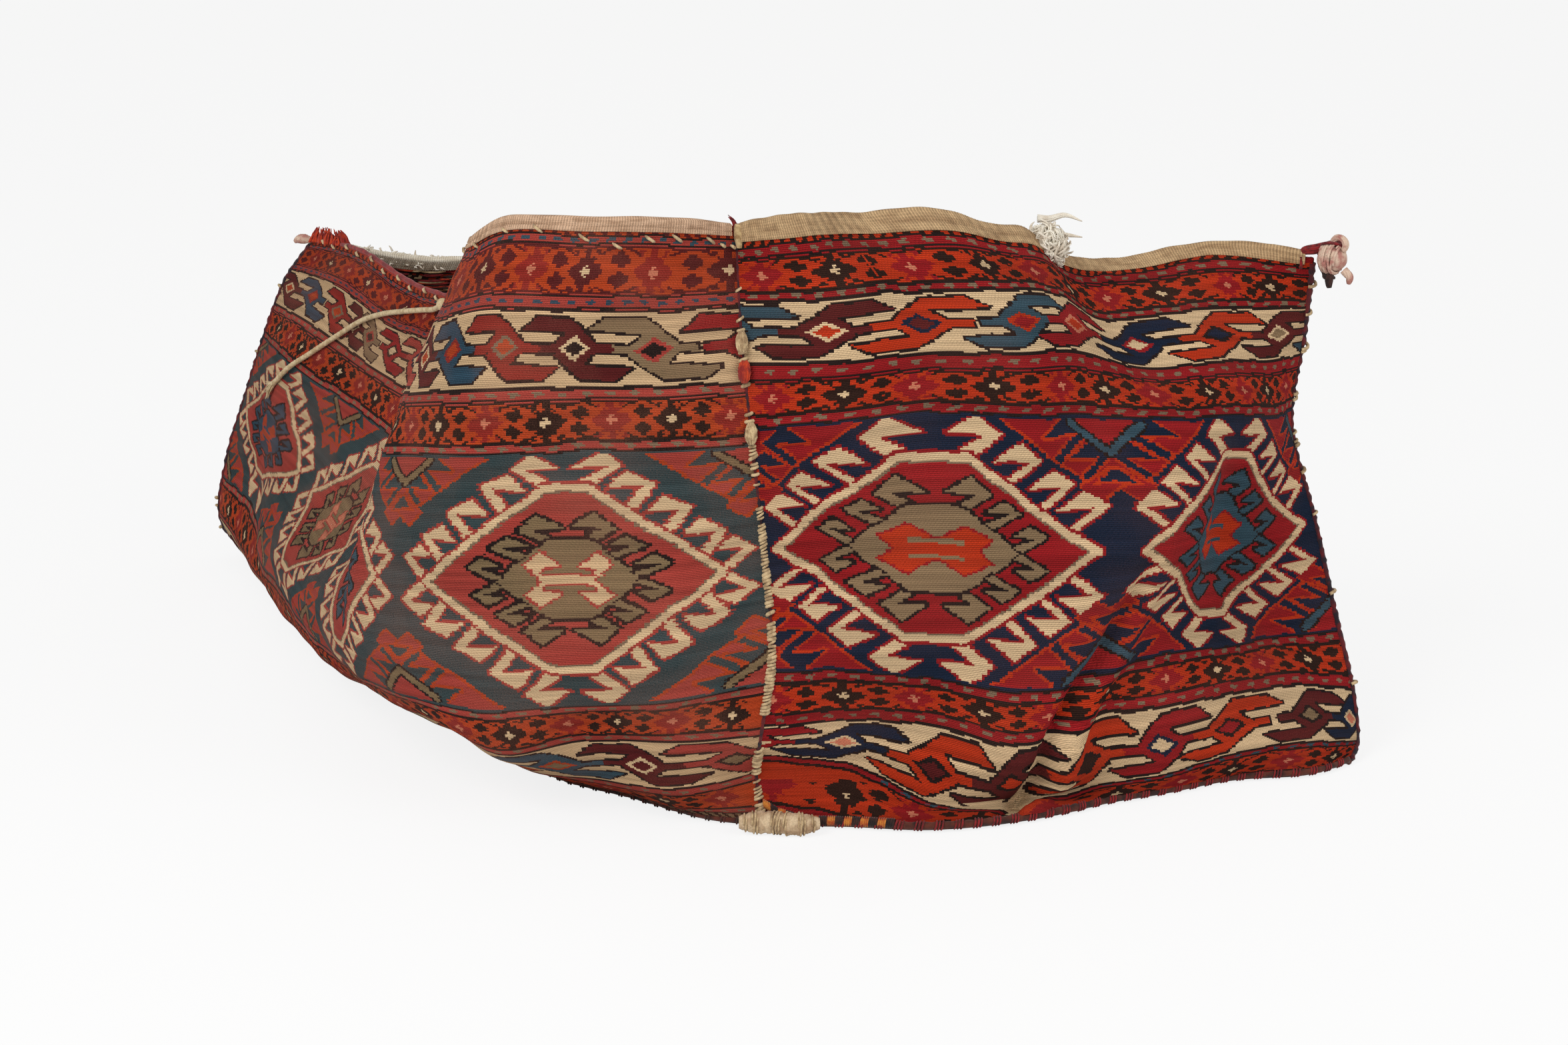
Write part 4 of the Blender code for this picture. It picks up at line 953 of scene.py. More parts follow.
end_wool = wrapped_wool('End wall wool', 0.06)
long_wool = wrapped_wool('Long wall wool', 0.20)
back_wool = cloth_back('Reverse of the wrapping')
hem_cloth = ribbed('Beige hem', (190, 158, 118), (146, 114, 82))
cream_yarn = yarn('Cream overcast yarn', (206, 180, 138), (158, 130, 96))
red_yarn = yarn('Red yarn', (140, 30, 32), (96, 26, 28))
brown_yarn = yarn('Brown yarn', (58, 38, 30), (92, 40, 32))
gold_yarn = yarn('Gold and orange yarn', (196, 122, 48), (170, 66, 30))
white_cotton = yarn('White cotton', (238, 230, 214), (214, 200, 180), 90.0)
tie_cotton = yarn('Cotton of the tie', (214, 192, 152), (184, 158, 116))
base_cloth = plain_cloth('Base cloth', (196, 170, 130), (150, 112, 80), 0.0026)
pink_hem = ribbed('Hem of the long wall', (206, 170, 140), (160, 124, 96))
pale_hem = ribbed('Hem of the back wall', (236, 226, 206), (206, 190, 164))
red_rim = yarn('Turned rim', (150, 44, 40), (112, 30, 32), 160.0)
seam_core = yarn('Seam core', (96, 26, 28), (34, 26, 34), 130.0)
orange_yarn = yarn('Orange yarn', (190, 62, 26), (136, 34, 28))
pale_yarn = yarn('Pale knotted yarn', (214, 186, 164), (176, 120, 108), 150.0)
foot_yarn = yarn('Foot cord', (96, 44, 30), (48, 28, 24), 90.0)
dark_yarn = yarn('Dark yarn', (36, 24, 22), (60, 34, 28))
grey_yarn = yarn('Grey yarn', (150, 138, 120), (96, 84, 74))
hem_yarn = yarn('Rolled hem yarn', (196, 168, 122), (146, 116, 78))
roll_cloth = yarn('Rolled cloth of the foot', (206, 182, 148), (170, 140, 108), 120.0, 900.0)


# ---- yarns ----

def tube_faces(rings, sides, base=0):
    """Quads between rings of points, and a cap at each end."""
    grid = base + np.arange(rings * sides).reshape(rings, sides)
    turned = np.roll(grid, -1, axis=1)
    quads = np.stack([grid[:-1], turned[:-1], turned[1:], grid[1:]], axis=-1).reshape(-1, 4)
    return quads.tolist() + [grid[0, ::-1].tolist(), grid[-1].tolist()]


class Yarns:
    """Many strands gathered into one mesh."""

    def __init__(self, sides=6):
        self.sides = sides
        self.points = []
        self.faces = []

    def add(self, path, radii):
        sides = self.sides
        path = np.array([list(p) for p in path], float)
        radii = np.broadcast_to(np.asarray(radii, float), (len(path),))
        tangent = unit(np.gradient(path, axis=0))
        side = np.cross(tangent[0], (0.0, 0.0, 1.0))
        if np.linalg.norm(side) < 1e-3:
            side = np.cross(tangent[0], (0.0, 1.0, 0.0))
        side = side / np.linalg.norm(side)
        turn = np.linspace(0, math.tau, sides, endpoint=False)
        base = len(self.points)
        for place, along, radius in zip(path, tangent, radii):
            side = side - along * (side @ along)
            side = side / np.linalg.norm(side)
            other = np.cross(along, side)
            ring = place + radius * (np.cos(turn)[:, None] * side + np.sin(turn)[:, None] * other)
            self.points.extend(ring.tolist())
        self.faces += tube_faces(len(path), sides, base)

    def build(self, name, mat, replaces, body='bag'):
        return settle(name, mesh_of(name, self.points, self.faces, mat), replaces, body)


# ---- walls ----

END_WIDE_MM = 560
LONG_WIDE_MM = 1120


def clothed(wall, node, look, table, wide, mat, seed, foot=None):
    """Both faces of a wall's cloth; on the reverse the stitches are longer and stray sideways."""
    cells = stitched(look, table, wide, seed, foot)
    height = look['whole']
    face = woven_piece(node + '_cloth', wall, cells, wide, height, 1, mat, seed, FACE_MOST)
    rough = cells[::3, ::2]
    drift = rng.integers(-3, 4, rough.shape)
    columns = np.clip(np.arange(rough.shape[1])[None, :] + drift, 0, rough.shape[1] - 1)
    rough = np.take_along_axis(rough, columns, axis=1)
    reverse = woven_piece(node + '_reverse', wall, rough, wide, height, -1, back_wool, seed, REVERSE_MOST)
    for obj in (face, reverse):
        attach(obj, 'bag')
        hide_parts(node)
    return face, reverse


front_cloth = clothed(front, 'front_wall', LONG_LOOK, LONG_DOWN, LONG_WIDE_MM, long_wool, 3)
right_cloth = clothed(right, 'right_end_wall', END_LOOK, END_DOWN, END_WIDE_MM, end_wool, 5,
                      (END_FOOT_ACROSS, END_FOOT))
back_cloth = clothed(back, 'back_wall', LONG_LOOK, LONG_DOWN, LONG_WIDE_MM, long_wool, 9)
LEFT_LOOK = dict(END_LOOK, repeats=3, hexagon=(82, 67, 18, 0.74, 1.0))
left_cloth = clothed(left, 'left_end_wall', LEFT_LOOK, END_DOWN, END_WIDE_MM, end_wool, 13)


# ---- hems and rims ----

# Hems, in metres: spacing of their points, pitch and depth of their ribs, and how deep the thread pulls in
# two rings of their section
HEM_STEP = 0.0011
RIB_PITCH = 0.0029
RIB_DEPTH = 0.0003
GROOVE_DEPTH = 0.0007
HEM_GROOVES = (0, 5)


def drop_length(wall, across):
    """Cloth length from rim to foot at each share of the width, in metres."""
    points = wall.lattice(across, np.linspace(0, 1, 60))
    return np.linalg.norm(np.diff(points, axis=0), axis=2).sum(axis=0)


def strip(node, wall, low, high, tall, thick, mat, rise=((0, 0.0),)):
    """A hem: plain weave folded over the rim, from one share of the width to another."""
    long = wall.length()
    count = int((high - low) * long / HEM_STEP)
    across = np.linspace(low, high, count)
    drop = drop_length(wall, across)
    tall, rise = np.interp(across, *zip(*tall)), np.interp(across, *zip(*rise))
    turn = np.radians(np.linspace(0, 180, 9))
    section = [(depth, 1.0, 0.0) for depth in (1.0, 0.96, 0.86, 0.72, 0.6, 0.54, 0.46, 0.3, 0.15)]
    section += [(0.0, math.cos(a), math.sin(a)) for a in turn]
    section += [(depth, -1.0, 0.0) for depth in (0.15, 0.3, 0.5, 0.75, 0.95, 1.0)]
    rib = np.sin(across * long * math.tau / RIB_PITCH)
    away = wall.outward(across, np.zeros(count))
    along = unit(np.gradient(wall.at(across, np.zeros(count)), axis=0))
    up = unit(np.cross(along, away))
    up = up * np.sign(up[:, 2:])
    rings = []
    uneven = wobble(across * 1000, across * 0, 0.0006, 21)
    for k, (depth, side, top) in enumerate(section):
        gone = np.maximum(depth * tall - rise * (1 - depth), 0.0)
        place = wall.at(across, np.clip(gone / drop, 0, 1))
        groove = -GROOVE_DEPTH if k in HEM_GROOVES else 0.0
        half = thick / 2 + groove + RIB_DEPTH * rib * (0.3 if k in HEM_GROOVES else 1.0) + uneven * 0.5
        lift = top * thick * 0.35 + (rise + uneven) * (1 - depth)
        rings.append(place + away * (half * side)[:, None] + up * lift[:, None])
    rings = np.array(rings)
    rows = len(section)
    number = np.arange(rows * count).reshape(rows, count)
    faces = np.stack([number[:-1, :-1], number[1:, :-1], number[1:, 1:], number[:-1, 1:]], axis=-1).reshape(-1, 4)
    if wall.turn < 0:
        faces = faces[:, ::-1]
    faces = faces.tolist() + [number[:, 0].tolist(), number[::-1, -1].tolist()]
    mesh = mesh_of(node + '_cloth', rings.reshape(-1, 3).tolist(), faces, mat)
    across_mm = across * long * 1000
    round_mm = np.cumsum([0.0] + [HEM_STEP * 1000] * (rows - 1))
    flat = np.stack(np.meshgrid(across_mm, round_mm), axis=-1).reshape(-1, 2)
    lay_out(mesh, flat, across_mm[-1], round_mm[-1])
    return settle(node + '_cloth', mesh, [node])


def run_of(wall, low, high, down, count):
    """Points along a wall between two shares of its width."""
    return wall.at(np.linspace(low, high, count), np.full(count, down))


hem_front = strip('front_hem', front, 0.006, 0.455,
                  ((0, 0.0075), (0.1, 0.0075), (0.2, 0.0100), (0.3, 0.009), (0.4, 0.0092), (0.455, 0.008)),
                  0.0062, pink_hem)
hem_right = strip('right_end_hem', right, 0.012, 0.99,
                  ((0, 0.0120), (0.1, 0.0135), (0.4, 0.0155), (0.52, 0.013), (0.6, 0.0105), (0.7, 0.0105),
                   (0.78, 0.0085), (0.86, 0.006), (1, 0.006)),
                  0.0066, hem_cloth, rise=((0, 0.0), (0.72, 0.0), (0.85, 0.003), (0.95, 0.0055), (1, 0.003)))
hem_back = strip('back_hem', back, 0.006, 0.994, ((0, 0.014),), 0.0064, pale_hem)
hem_left = strip('left_end_hem', left, 0.012, 0.988, ((0, 0.0145),), 0.0064, pale_hem)

# The hem seen over the dip of the long wall is worn to fluff, and floats of wool lie loose below it
fluff = Yarns(5)
dice = np.random.default_rng(23)
for _ in range(420):
    a = dice.uniform(0.02, 0.98)
    place, away = left.point(a, 0.012), left.away(a, 0.012)
    ahead = unit(left.point(min(a + 0.01, 1.0), 0.012) - place)
    start = place + away * dice.uniform(-0.0036, 0.0030) + UP * dice.uniform(-0.004, 0.0065)
    reach = ahead * dice.uniform(-1, 1) + away * dice.uniform(-0.7, 0.5) + UP * dice.uniform(-0.4, 0.5)
    step = unit(reach) * dice.uniform(0.003, 0.007)
    bend = dice.normal(0, 0.0007, 3)
    fluff.add([start, start + step * 0.5 + bend, start + step], (0.0011, 0.0009, 0.0004))
fluff.build('left_end_hem_fluff', white_cotton, ['left_end_hem'])
for number, (mat, count) in enumerate(((orange_yarn, 170), (dark_yarn, 120), (cream_yarn, 60), (red_yarn, 80))):
    floats = Yarns(5)
    dice = np.random.default_rng(24 + number)
    for _ in range(count):
        a, v = dice.uniform(0.03, 0.90), 0.045 + 0.42 * dice.random() ** 1.4
        across = np.linspace(a, min(a + dice.uniform(0.02, 0.07), 0.985), 6)
        place = left.at(across, np.full(6, v + dice.uniform(-0.002, 0.002)))
        sunk = CLOTH_HALF + 0.0006 + 0.0010 * np.sin(np.linspace(0, math.pi, 6))
        floats.add(place - left.outward(across, np.full(6, v)) * sunk[:, None],
                   0.0011 * np.array((0.5, 1, 1, 1, 1, 0.5)))
    floats.build('left_end_floats_%d' % (number + 1), mat, ())

# The rest of the front hem is turned in: its edge is a thin roll of the wall's own yarn
RIM_POINTS = 420
rim = Yarns(8)
roll = run_of(front, 0.452, 0.995, 0.0, RIM_POINTS) - UP * 0.0009
rim.add(roll, 0.0021 + wobble(np.arange(RIM_POINTS) * 2.6, np.zeros(RIM_POINTS), 0.00035, 4))
rim_roll = rim.build('front_rim_roll', red_rim, ['front_hem'])

# Tacking stitches along the rim of the long wall: share across, millimetres down and length
TACKS = ((0.161, 13, 0.010), (0.126, 18, 0.009), (0.100, 24, 0.008), (0.076, 18, 0.009), (0.054, 17, 0.010),
         (0.025, 18, 0.009), (0.014, 22, 0.005), (0.005, 23, 0.005), (0.19, 14, 0.007), (0.235, 16, 0.008),
         (0.30, 15, 0.008), (0.36, 17, 0.008), *((0.47 + 0.031 * i, 7.0 + 5.0 * (i % 2), 0.007) for i in range(17)))
tacks = Yarns(6)
for across, down_mm, length in TACKS:
    v = float(np.interp(down_mm, LONG_DOWN[1], LONG_DOWN[0]))
    place, away = front.point(across, v), front.away(across, v)
    ahead = unit(front.point(min(across + 0.004, 1.0), v) - place)
    slant = unit(-ahead * 0.8 - UP * 0.5)
    base = place + away * 0.0030
    tacks.add([base + slant * length * part + away * out
               for part, out in ((-0.5, -0.001), (-0.25, 0.0006), (0.25, 0.0006), (0.5, -0.001))],
              (0.0007, 0.0012, 0.0012, 0.0007))
tacking = tacks.build('rim_tacking_stitches', cream_yarn, ())


# ---- sewn corners ----

CORNER_ROWS = np.linspace(0.012, 1, 90)


def overcast(corner, place, out, coverage, seed, radius=0.0030, pitch=0.0036, wires=(0.0010, 0.0016)):
    """A corner seam: a dark core, and pale yarn whipped over it where it isn't worn away."""
    dice = np.random.default_rng(seed)
    core = Yarns(10)
    line = even(place, 0.0022)
    swell = 0.86 + 0.14 * np.sin(np.linspace(0, 1, len(line)) * 900)
    core.add(line, radius * (swell + 0.10 * dice.standard_normal(len(line)).clip(-1, 1)))
    core.build(corner + '_seam_core', seam_core, [corner + '_corner_seam'])
    whips = Yarns(6)
    line = even(place, pitch)
    downs = np.linspace(0, 1, len(line))
    outs = np.stack([np.interp(downs, np.linspace(0, 1, len(out)), out[:, k]) for k in range(3)], axis=-1)
    for spot, along, away, down in zip(line, unit(np.gradient(line, axis=0)), outs, downs):
        if dice.random() > np.interp(down, *zip(*coverage)):
            continue
        away = unit(away - along * (away @ along))
        side = np.cross(along, away)
        wide = dice.uniform(0.85, 1.2)
        wire = dice.uniform(*wires)
        slant = dice.uniform(0.0002, 0.0017)
        reach = radius + wire * 0.75
        whips.add([spot + away * math.cos(a) * reach * wide + side * math.sin(a) * reach * 1.05 + along * a * slant
                   for a in np.radians(np.linspace(-80, 80, 11))], wire)
    whips.build(corner + '_seam_whipping', cream_yarn, [corner + '_corner_seam'])


# Each corner lies along one wall's side and meets another's; then how much of its whipping is left, by height
CORNERS = {
    'near': (right, 0.0, front, 0.0,
             ((0, 0.0), (0.06, 0.1), (0.12, 0.1), (0.14, 0.7), (0.22, 0.5), (0.25, 0.1), (0.31, 0.2), (0.33, 0.8),
              (0.38, 0.6), (0.42, 0.4), (0.47, 0.9), (0.55, 0.95), (0.77, 0.95), (0.79, 0.1), (0.84, 0.1),
              (0.86, 0.7), (1, 0.5)), 31, 0.0019, 0.0027, (0.0009, 0.0016)),
    'right': (back, 0.0, right, 1.0, ((0, 0.1), (1, 0.12)), 32),
    'back': (left, 0.0, back, 1.0, ((0, 0.8), (1, 0.8)), 33),
    'left': (front, 1.0, left, 1.0, ((0, 0.05), (1, 0.1)), 34),
}
corner_out = {}
for corner, (wall, side, other, other_side, *rest) in CORNERS.items():
    along_side, along_other = (np.full(len(CORNER_ROWS), share) for share in (side, other_side))
    corner_out[corner] = unit(wall.outward(along_side, CORNER_ROWS) + other.outward(along_other, CORNER_ROWS))
    overcast(corner, wall.at(along_side, CORNER_ROWS), corner_out[corner], *rest)

# Lumps of yarn in front of the near seam
for i, down in enumerate((0.180, 0.222, 0.310), 1):
    spot = front.point(0.0, down) - np.array((0.0, 0.0066, 0.0))
    lump = Yarns(6)
    dice = np.random.default_rng(59 + i)
    for _ in range(34):
        turn = dice.uniform(0, math.tau)
        flat = np.array((math.cos(turn), math.sin(turn), 0.0))
        path = []
        for t in np.linspace(-1, 1, 7):
            bend = math.sqrt(max(1 - (t * 0.92) ** 2, 0.02))
            path.append(spot + np.array((0.0042, 0.0026, 0.0080)) * (flat * bend * 0.9 + UP * t)
                        + dice.normal(0, 0.0003, 3))
        lump.add(path, 0.0008 * np.array((0.5, 0.9, 1, 1, 1, 0.9, 0.5)))
    lump.build('seam_lump_%d_yarn' % i, orange_yarn if i == 2 else cream_yarn, ['seam_lump_%d' % i])


# ---- base ----

# Cords along the wall feet, in metres: radius of the outer one, how far out its stitches lie and how low they may
# go, radius and height of the inner one, and how far in it lies
FOOT_POINTS = 409
FOOT_STEP = 0.0025
FOOT_CORD = 0.0031
STITCH_REACH = 0.0034
STITCH_LOWEST = 0.0012
INNER_CORD = 0.0026
INNER_HEIGHT = 0.0030
INNER_DEPTH = 0.0034
base_middle = middle_of('base_panel')


def foot_seam(name, wall, node, pitch, mat_wrap, seed):
    """Dark cord along a wall's foot, sewn over at intervals, and one inside that closes it to the base; the inner one
    stands both for the sewn joint and for painted shade in it.
    """
    dice = np.random.default_rng(seed)
    line = even(run_of(wall, 0.012, 0.988, 1.0, FOOT_POINTS), FOOT_STEP)
    core = Yarns(8)
    core.add(line, FOOT_CORD + 0.0003 * np.sin(np.arange(len(line)) * 1.9))
    # The inner cord is the same dark foot yarn: it stands for the sewn joint and is painted shade where the wall meets
    # the base
    inner = even(run_of(wall, 0.003, 0.997, 1.0, FOOT_POINTS), 0.005)
    inward = unit(np.cross(unit(np.gradient(inner, axis=0)), UP))
    inner = inner + inward * np.sign((inward * (base_middle - inner)).sum()) * INNER_DEPTH
    inner = np.vstack([inner[:1] * 2 - inner[1:2], inner, inner[-1:] * 2 - inner[-2:-1]])
    inner[:, 2] = INNER_HEIGHT
    core.add(inner, INNER_CORD)
    core.build(name + '_core', foot_yarn, [node])
    whips = Yarns(6)
    tangent = unit(np.gradient(line, axis=0))
    gap = int(pitch / FOOT_STEP)
    for k in range(2, len(line) - 2, gap):
        for n in range(gap // 2):
            i = min(k + n, len(line) - 2)
            side = unit(np.cross(tangent[i], UP))
            path = np.array([line[i] + side * math.cos(a) * STITCH_REACH + UP * (math.sin(a) * STITCH_REACH)
                             + tangent[i] * a * 0.0008 for a in np.radians(np.linspace(-60, 240, 13))])
            path[:, 2] = np.maximum(path[:, 2], STITCH_LOWEST)
            whips.add(path, dice.uniform(0.0006, 0.0009))
    whips.build(name + '_stitches', mat_wrap, [node])


foot_seam('front_foot', front, 'front_base_seam', 0.014, brown_yarn, 41)
foot_seam('right_foot', right, 'right_end_base_seam', 0.015, red_yarn, 42)
foot_seam('back_foot', back, 'back_base_seam', 0.014, brown_yarn, 43)
foot_seam('left_foot', left, 'left_end_base_seam', 0.014, brown_yarn, 44)

for material_slot in bpy.data.objects['base_panel'].material_slots:
    material_slot.material = base_cloth

# Gold and black stitches on the turned-up foot of the right wall, beside the near corner
EDGE_MM = np.array(((2, 488), (13, 497), (28, 503), (46, 507), (66, 509), (90, 509.5), (112, 510)))
gone = run_lengths(EDGE_MM)
for tone, mat, shift in (('gold', gold_yarn, 0.0), ('black', dark_yarn, 6.5)):
    stitches = Yarns(6)
    dice = np.random.default_rng(45)
    for first in np.arange(2.0 + shift, gone[-1] - 2, 14.0):
        for n in range(4):
            x_mm, y_mm = (np.interp(first + n * 1.7, gone, EDGE_MM[:, k]) for k in (0, 1))
            a = x_mm / END_WIDE_MM
            v = min(float(np.interp(y_mm, END_DOWN[1], END_DOWN[0])), 0.997)
            place, away = right.point(a, v), right.away(a, v)
            below = unit(right.point(a, min(v + 0.01, 1.0)) - right.point(a, v - 0.01))
            path = [place + below * down + away * out
                    for down, out in ((-0.004, 0.0012), (-0.002, 0.0036), (0.001, 0.0036), (0.0035, 0.0012))]
            stitches.add(path, np.array((0.6, 1, 1, 0.6)) * dice.uniform(0.0009, 0.0013))
    stitches.build('foot_edge_' + tone + '_stitches', mat, ())

# Cloth of the base rolled under the near corner, and the thread round it
ROLL_POINTS = 60
ROLL_ROUTE = ((-0.021, -0.008), (0.002, -0.0080), (0.022, -0.0120), (0.040, -0.0105))
ROLL_GIRTH = (0.55, 0.85, 1.0, 1.0, 0.92, 1.0, 1.0, 0.8, 0.5)
roll_line = smooth([(x + ORIGIN[0], y + ORIGIN[1], 0.0093) for x, y in ROLL_ROUTE], ROLL_POINTS)
roll_girth = 0.0085 * np.interp(np.linspace(0, 1, ROLL_POINTS), np.linspace(0, 1, len(ROLL_GIRTH)), ROLL_GIRTH)
rolled = Yarns(26)
dice = np.random.default_rng(51)
uneven = 1 + 0.05 * np.sin(np.arange(ROLL_POINTS) * 0.9) + 0.02 * dice.standard_normal(ROLL_POINTS)
rolled.add(roll_line, roll_girth * uneven)
rolled.build('base_corner_roll_cloth', roll_cloth, ['base_corner_roll'])
binding = Yarns(6)
for start in (0.06, 0.16, 0.2, 0.42, 0.46, 0.5, 0.58, 0.74, 0.78, 0.9):
    path = []
    for a in np.radians(np.linspace(0, 400, 26)):
        k = min((start + a / math.tau * 0.028) * (ROLL_POINTS - 1), ROLL_POINTS - 2)
        i = int(k)
        step = roll_line[i + 1] - roll_line[i]
        along = unit(step)
        side = unit(np.cross(along, UP))
        reach = np.interp(k, np.arange(ROLL_POINTS), roll_girth) * 1.03 + 0.0003
        path.append(roll_line[i] + step * (k - i) + side * math.cos(a) * reach
                    + np.cross(side, along) * math.sin(a) * reach)
    binding.add(path, 0.00075)
binding.build('base_corner_roll_thread', cream_yarn, ())


# ---- tuft, knots, cord and yarn ends ----

def tuft_strands(yarns, centre, half, axes, count, length, radius, dice, curl):
    """A mop of short bent strands that grow out of an ellipsoid."""
    for _ in range(count):
        spot = dice.normal(size=3)
        spot = spot / np.linalg.norm(spot)
        local = spot * half
        root = centre + axes.T @ (local * dice.uniform(0.55, 0.82))
        normal = axes.T @ (spot / half)
        normal = normal / np.linalg.norm(normal)
        swirl = np.cross(normal, dice.normal(size=3))
        swirl = swirl / np.linalg.norm(swirl)
        size = length * dice.uniform(0.6, 1.25)
        path = [root]
        heading = normal * 0.55 + swirl * curl
        for k in range(6):
            heading = unit(heading + swirl * 0.15 - normal * 0.28 * k / 3 + dice.normal(0, 0.16, 3) - UP * 0.05)
            path.append(path[-1] + heading * size / 6)
        yarns.add(path, radius * dice.uniform(0.7, 1.3) * np.array((0.8, 1, 1, 1, 0.9, 0.7, 0.35)))


def lumpy(name, centre, half, axes, mat, node, seed, rough, level=4):
    """A closed uneven core."""
    made = bmesh.new()
    bmesh.ops.create_icosphere(made, subdivisions=level, radius=1.0)
    waves = np.random.default_rng(seed).normal(0, 3.0, (8, 3))
    for vert in made.verts:
        n = np.array(vert.co)
        swell = 1 + rough * sum(math.sin(w @ n + i) for i, w in enumerate(waves)) / 4
        vert.co = Vector(centre + axes.T @ (n * half * swell))
    mesh = bpy.data.meshes.new(name)
    made.to_mesh(mesh)
    made.free()
    mesh.polygons.foreach_set('use_smooth', np.ones(len(mesh.polygons), bool))
    mesh.materials.append(mat)
    settle(name, mesh, [node])


tuft_mid = middle_of('cotton_tuft') - UP * 0.0055
spread = unit(right.point(0.60, 0.01) - right.point(0.52, 0.01))
face_out = unit(np.cross(spread, UP))
tuft_axes = np.array((spread, face_out, np.cross(face_out, spread)))
tuft_size = np.array((0.0205, 0.0125, 0.0150))
lumpy('cotton_tuft_core', tuft_mid, tuft_size * 0.8, tuft_axes, white_cotton, 'cotton_tuft', 71, 0.2)
mop = Yarns(6)
tuft_strands(mop, tuft_mid, tuft_size, tuft_axes, 560, 0.0125, 0.0010, np.random.default_rng(72), 0.55)
mop.build('cotton_tuft_strands', white_cotton, ['cotton_tuft'])
for node, lift in (('cotton_horn_upper', 0.0040), ('cotton_horn_lower', 0.0010)):
    low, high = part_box(node)
    start = middle_of(node) - UP * 0.004
    end = np.array((high[0] + 0.0225, start[1] - 0.004, low[2] + 0.001))
    horn = Yarns(10)
    for a in np.arange(9) * math.tau / 9:
        ring = np.array((0.0, math.cos(a), math.sin(a))) * 0.0016
        middle = (start + end) / 2 + UP * lift + ring * 0.8
        path = smooth([start - (end - start) * 0.3 + ring * 1.3, start + ring * 1.2, middle, end + ring * 0.1], 14)
        horn.add(path, 0.0011 * np.linspace(1.1, 0.25, 14))
    horn.build(node + '_strands', white_cotton, [node])

# The knot at the right corner; the tassel turns about its middle
PIVOT = np.array((0.46327, -0.20862, 0.39955))
OUT = unit(np.array((0.7807, -0.6249, 0.0)))
SIDE = np.cross(OUT, UP)
KNOT_RADIUS = 0.0118
TASSEL_ROOT = 0.0131
lumpy('right_corner_knot_core', PIVOT, np.array((KNOT_RADIUS, 0.0108, 0.0108)), np.array((OUT, SIDE, UP)), pale_yarn,
      'right_corner_knot', 81, 0.1)
wraps = Yarns(8)
dice = np.random.default_rng(82)
for k in range(26):
    tilt = dice.uniform(-0.5, 0.5)
    shift = dice.uniform(-0.006, 0.006)
    start, stop = dice.uniform(0, math.tau), dice.uniform(2.4, 4.6)
    size = math.sqrt(max(KNOT_RADIUS ** 2 - shift ** 2, 1e-6)) + 0.0004
    path = []
    for a in np.linspace(start, start + stop, 22):
        spot = OUT * shift + (UP * math.cos(a) + SIDE * math.sin(a)) * size
        spot = spot + OUT * math.sin(a + 1) * tilt * 0.006
        path.append(PIVOT + spot / np.linalg.norm(spot) * (0.0121 + 0.0003 * (k % 3)))
    wraps.add(path, dice.uniform(0.0007, 0.0011))
wraps.build('right_corner_knot_wraps', pale_yarn, ['right_corner_knot'])


def arc_points(centre, a0, a1, reach0, reach1, lean, count=20):
    """An arc about the knot, from one angle and reach to another."""
    points = []
    for t in np.linspace(0, 1, count):
        a = math.radians(a0 + (a1 - a0) * t)
        reach = reach0 + (reach1 - reach0) * t
        points.append(centre + (OUT * math.cos(a) + UP * math.sin(a)) * reach + SIDE * lean * math.sin(t * math.pi))
    return np.array(points)


red_wrap = Yarns(8)
for k in range(9):
    red_wrap.add(arc_points(PIVOT, 175 - 4 * k, 40 + 2 * k, 0.0128, 0.0132, 0.0018 * (k - 4)), 0.0010)
red_wrap.build('right_corner_red_yarn', red_yarn, ())
dark_wrap = Yarns(8)
for k in range(8):
    arc = arc_points(PIVOT - UP * 0.002, 205 + 5 * k, 268 + 2 * k, 0.0125, 0.0134, 0.0022 * (k - 4), 14)
    dark_wrap.add(arc, 0.0013)
dark_wrap.build('right_corner_dark_yarn', dark_yarn, ())
# Yarns that tie the knot to the corner of the wall
corner_top = right.point(0.985, 0.0) + UP * 0.002
ties = Yarns(8)
dice = np.random.default_rng(83)
for k in range(12):
    slip = np.array((0.0, math.cos(k), math.sin(k))) * 0.0022
    ties.add(smooth((corner_top + slip - UP * 0.010, corner_top + slip + UP * 0.001,
                     (corner_top + PIVOT) / 2 + slip * 1.4 + UP * 0.006,
                     PIVOT - OUT * 0.006 + UP * 0.0095 + slip), 16), dice.uniform(0.0009, 0.0014))
ties.build('right_corner_tie_yarns', red_yarn, ())


def strand_bundle(node, line, radius, strands, mat, taper, twist=1.5, body='bag'):
    """Several strands lying round a centre line."""
    line = np.asarray(line)
    tangent = unit(np.gradient(line, axis=0))
    side = unit(np.cross(tangent, SIDE + 0.01))
    other = np.cross(tangent, side)
    taper = np.interp(np.linspace(0, 1, len(line)), np.linspace(0, 1, len(taper)), taper)
    bundle = Yarns(8)
    bundle.add(line, radius * 0.62 * taper)
    for k in range(strands):
        a = k * math.tau / strands + np.linspace(0, twist, len(line))
        ring = side * np.cos(a)[:, None] + other * np.sin(a)[:, None]
        bundle.add(line + ring * (radius * 0.6 * taper)[:, None], radius * 0.42 * taper)
    bundle.build(node + '_strands', mat, [node], body)


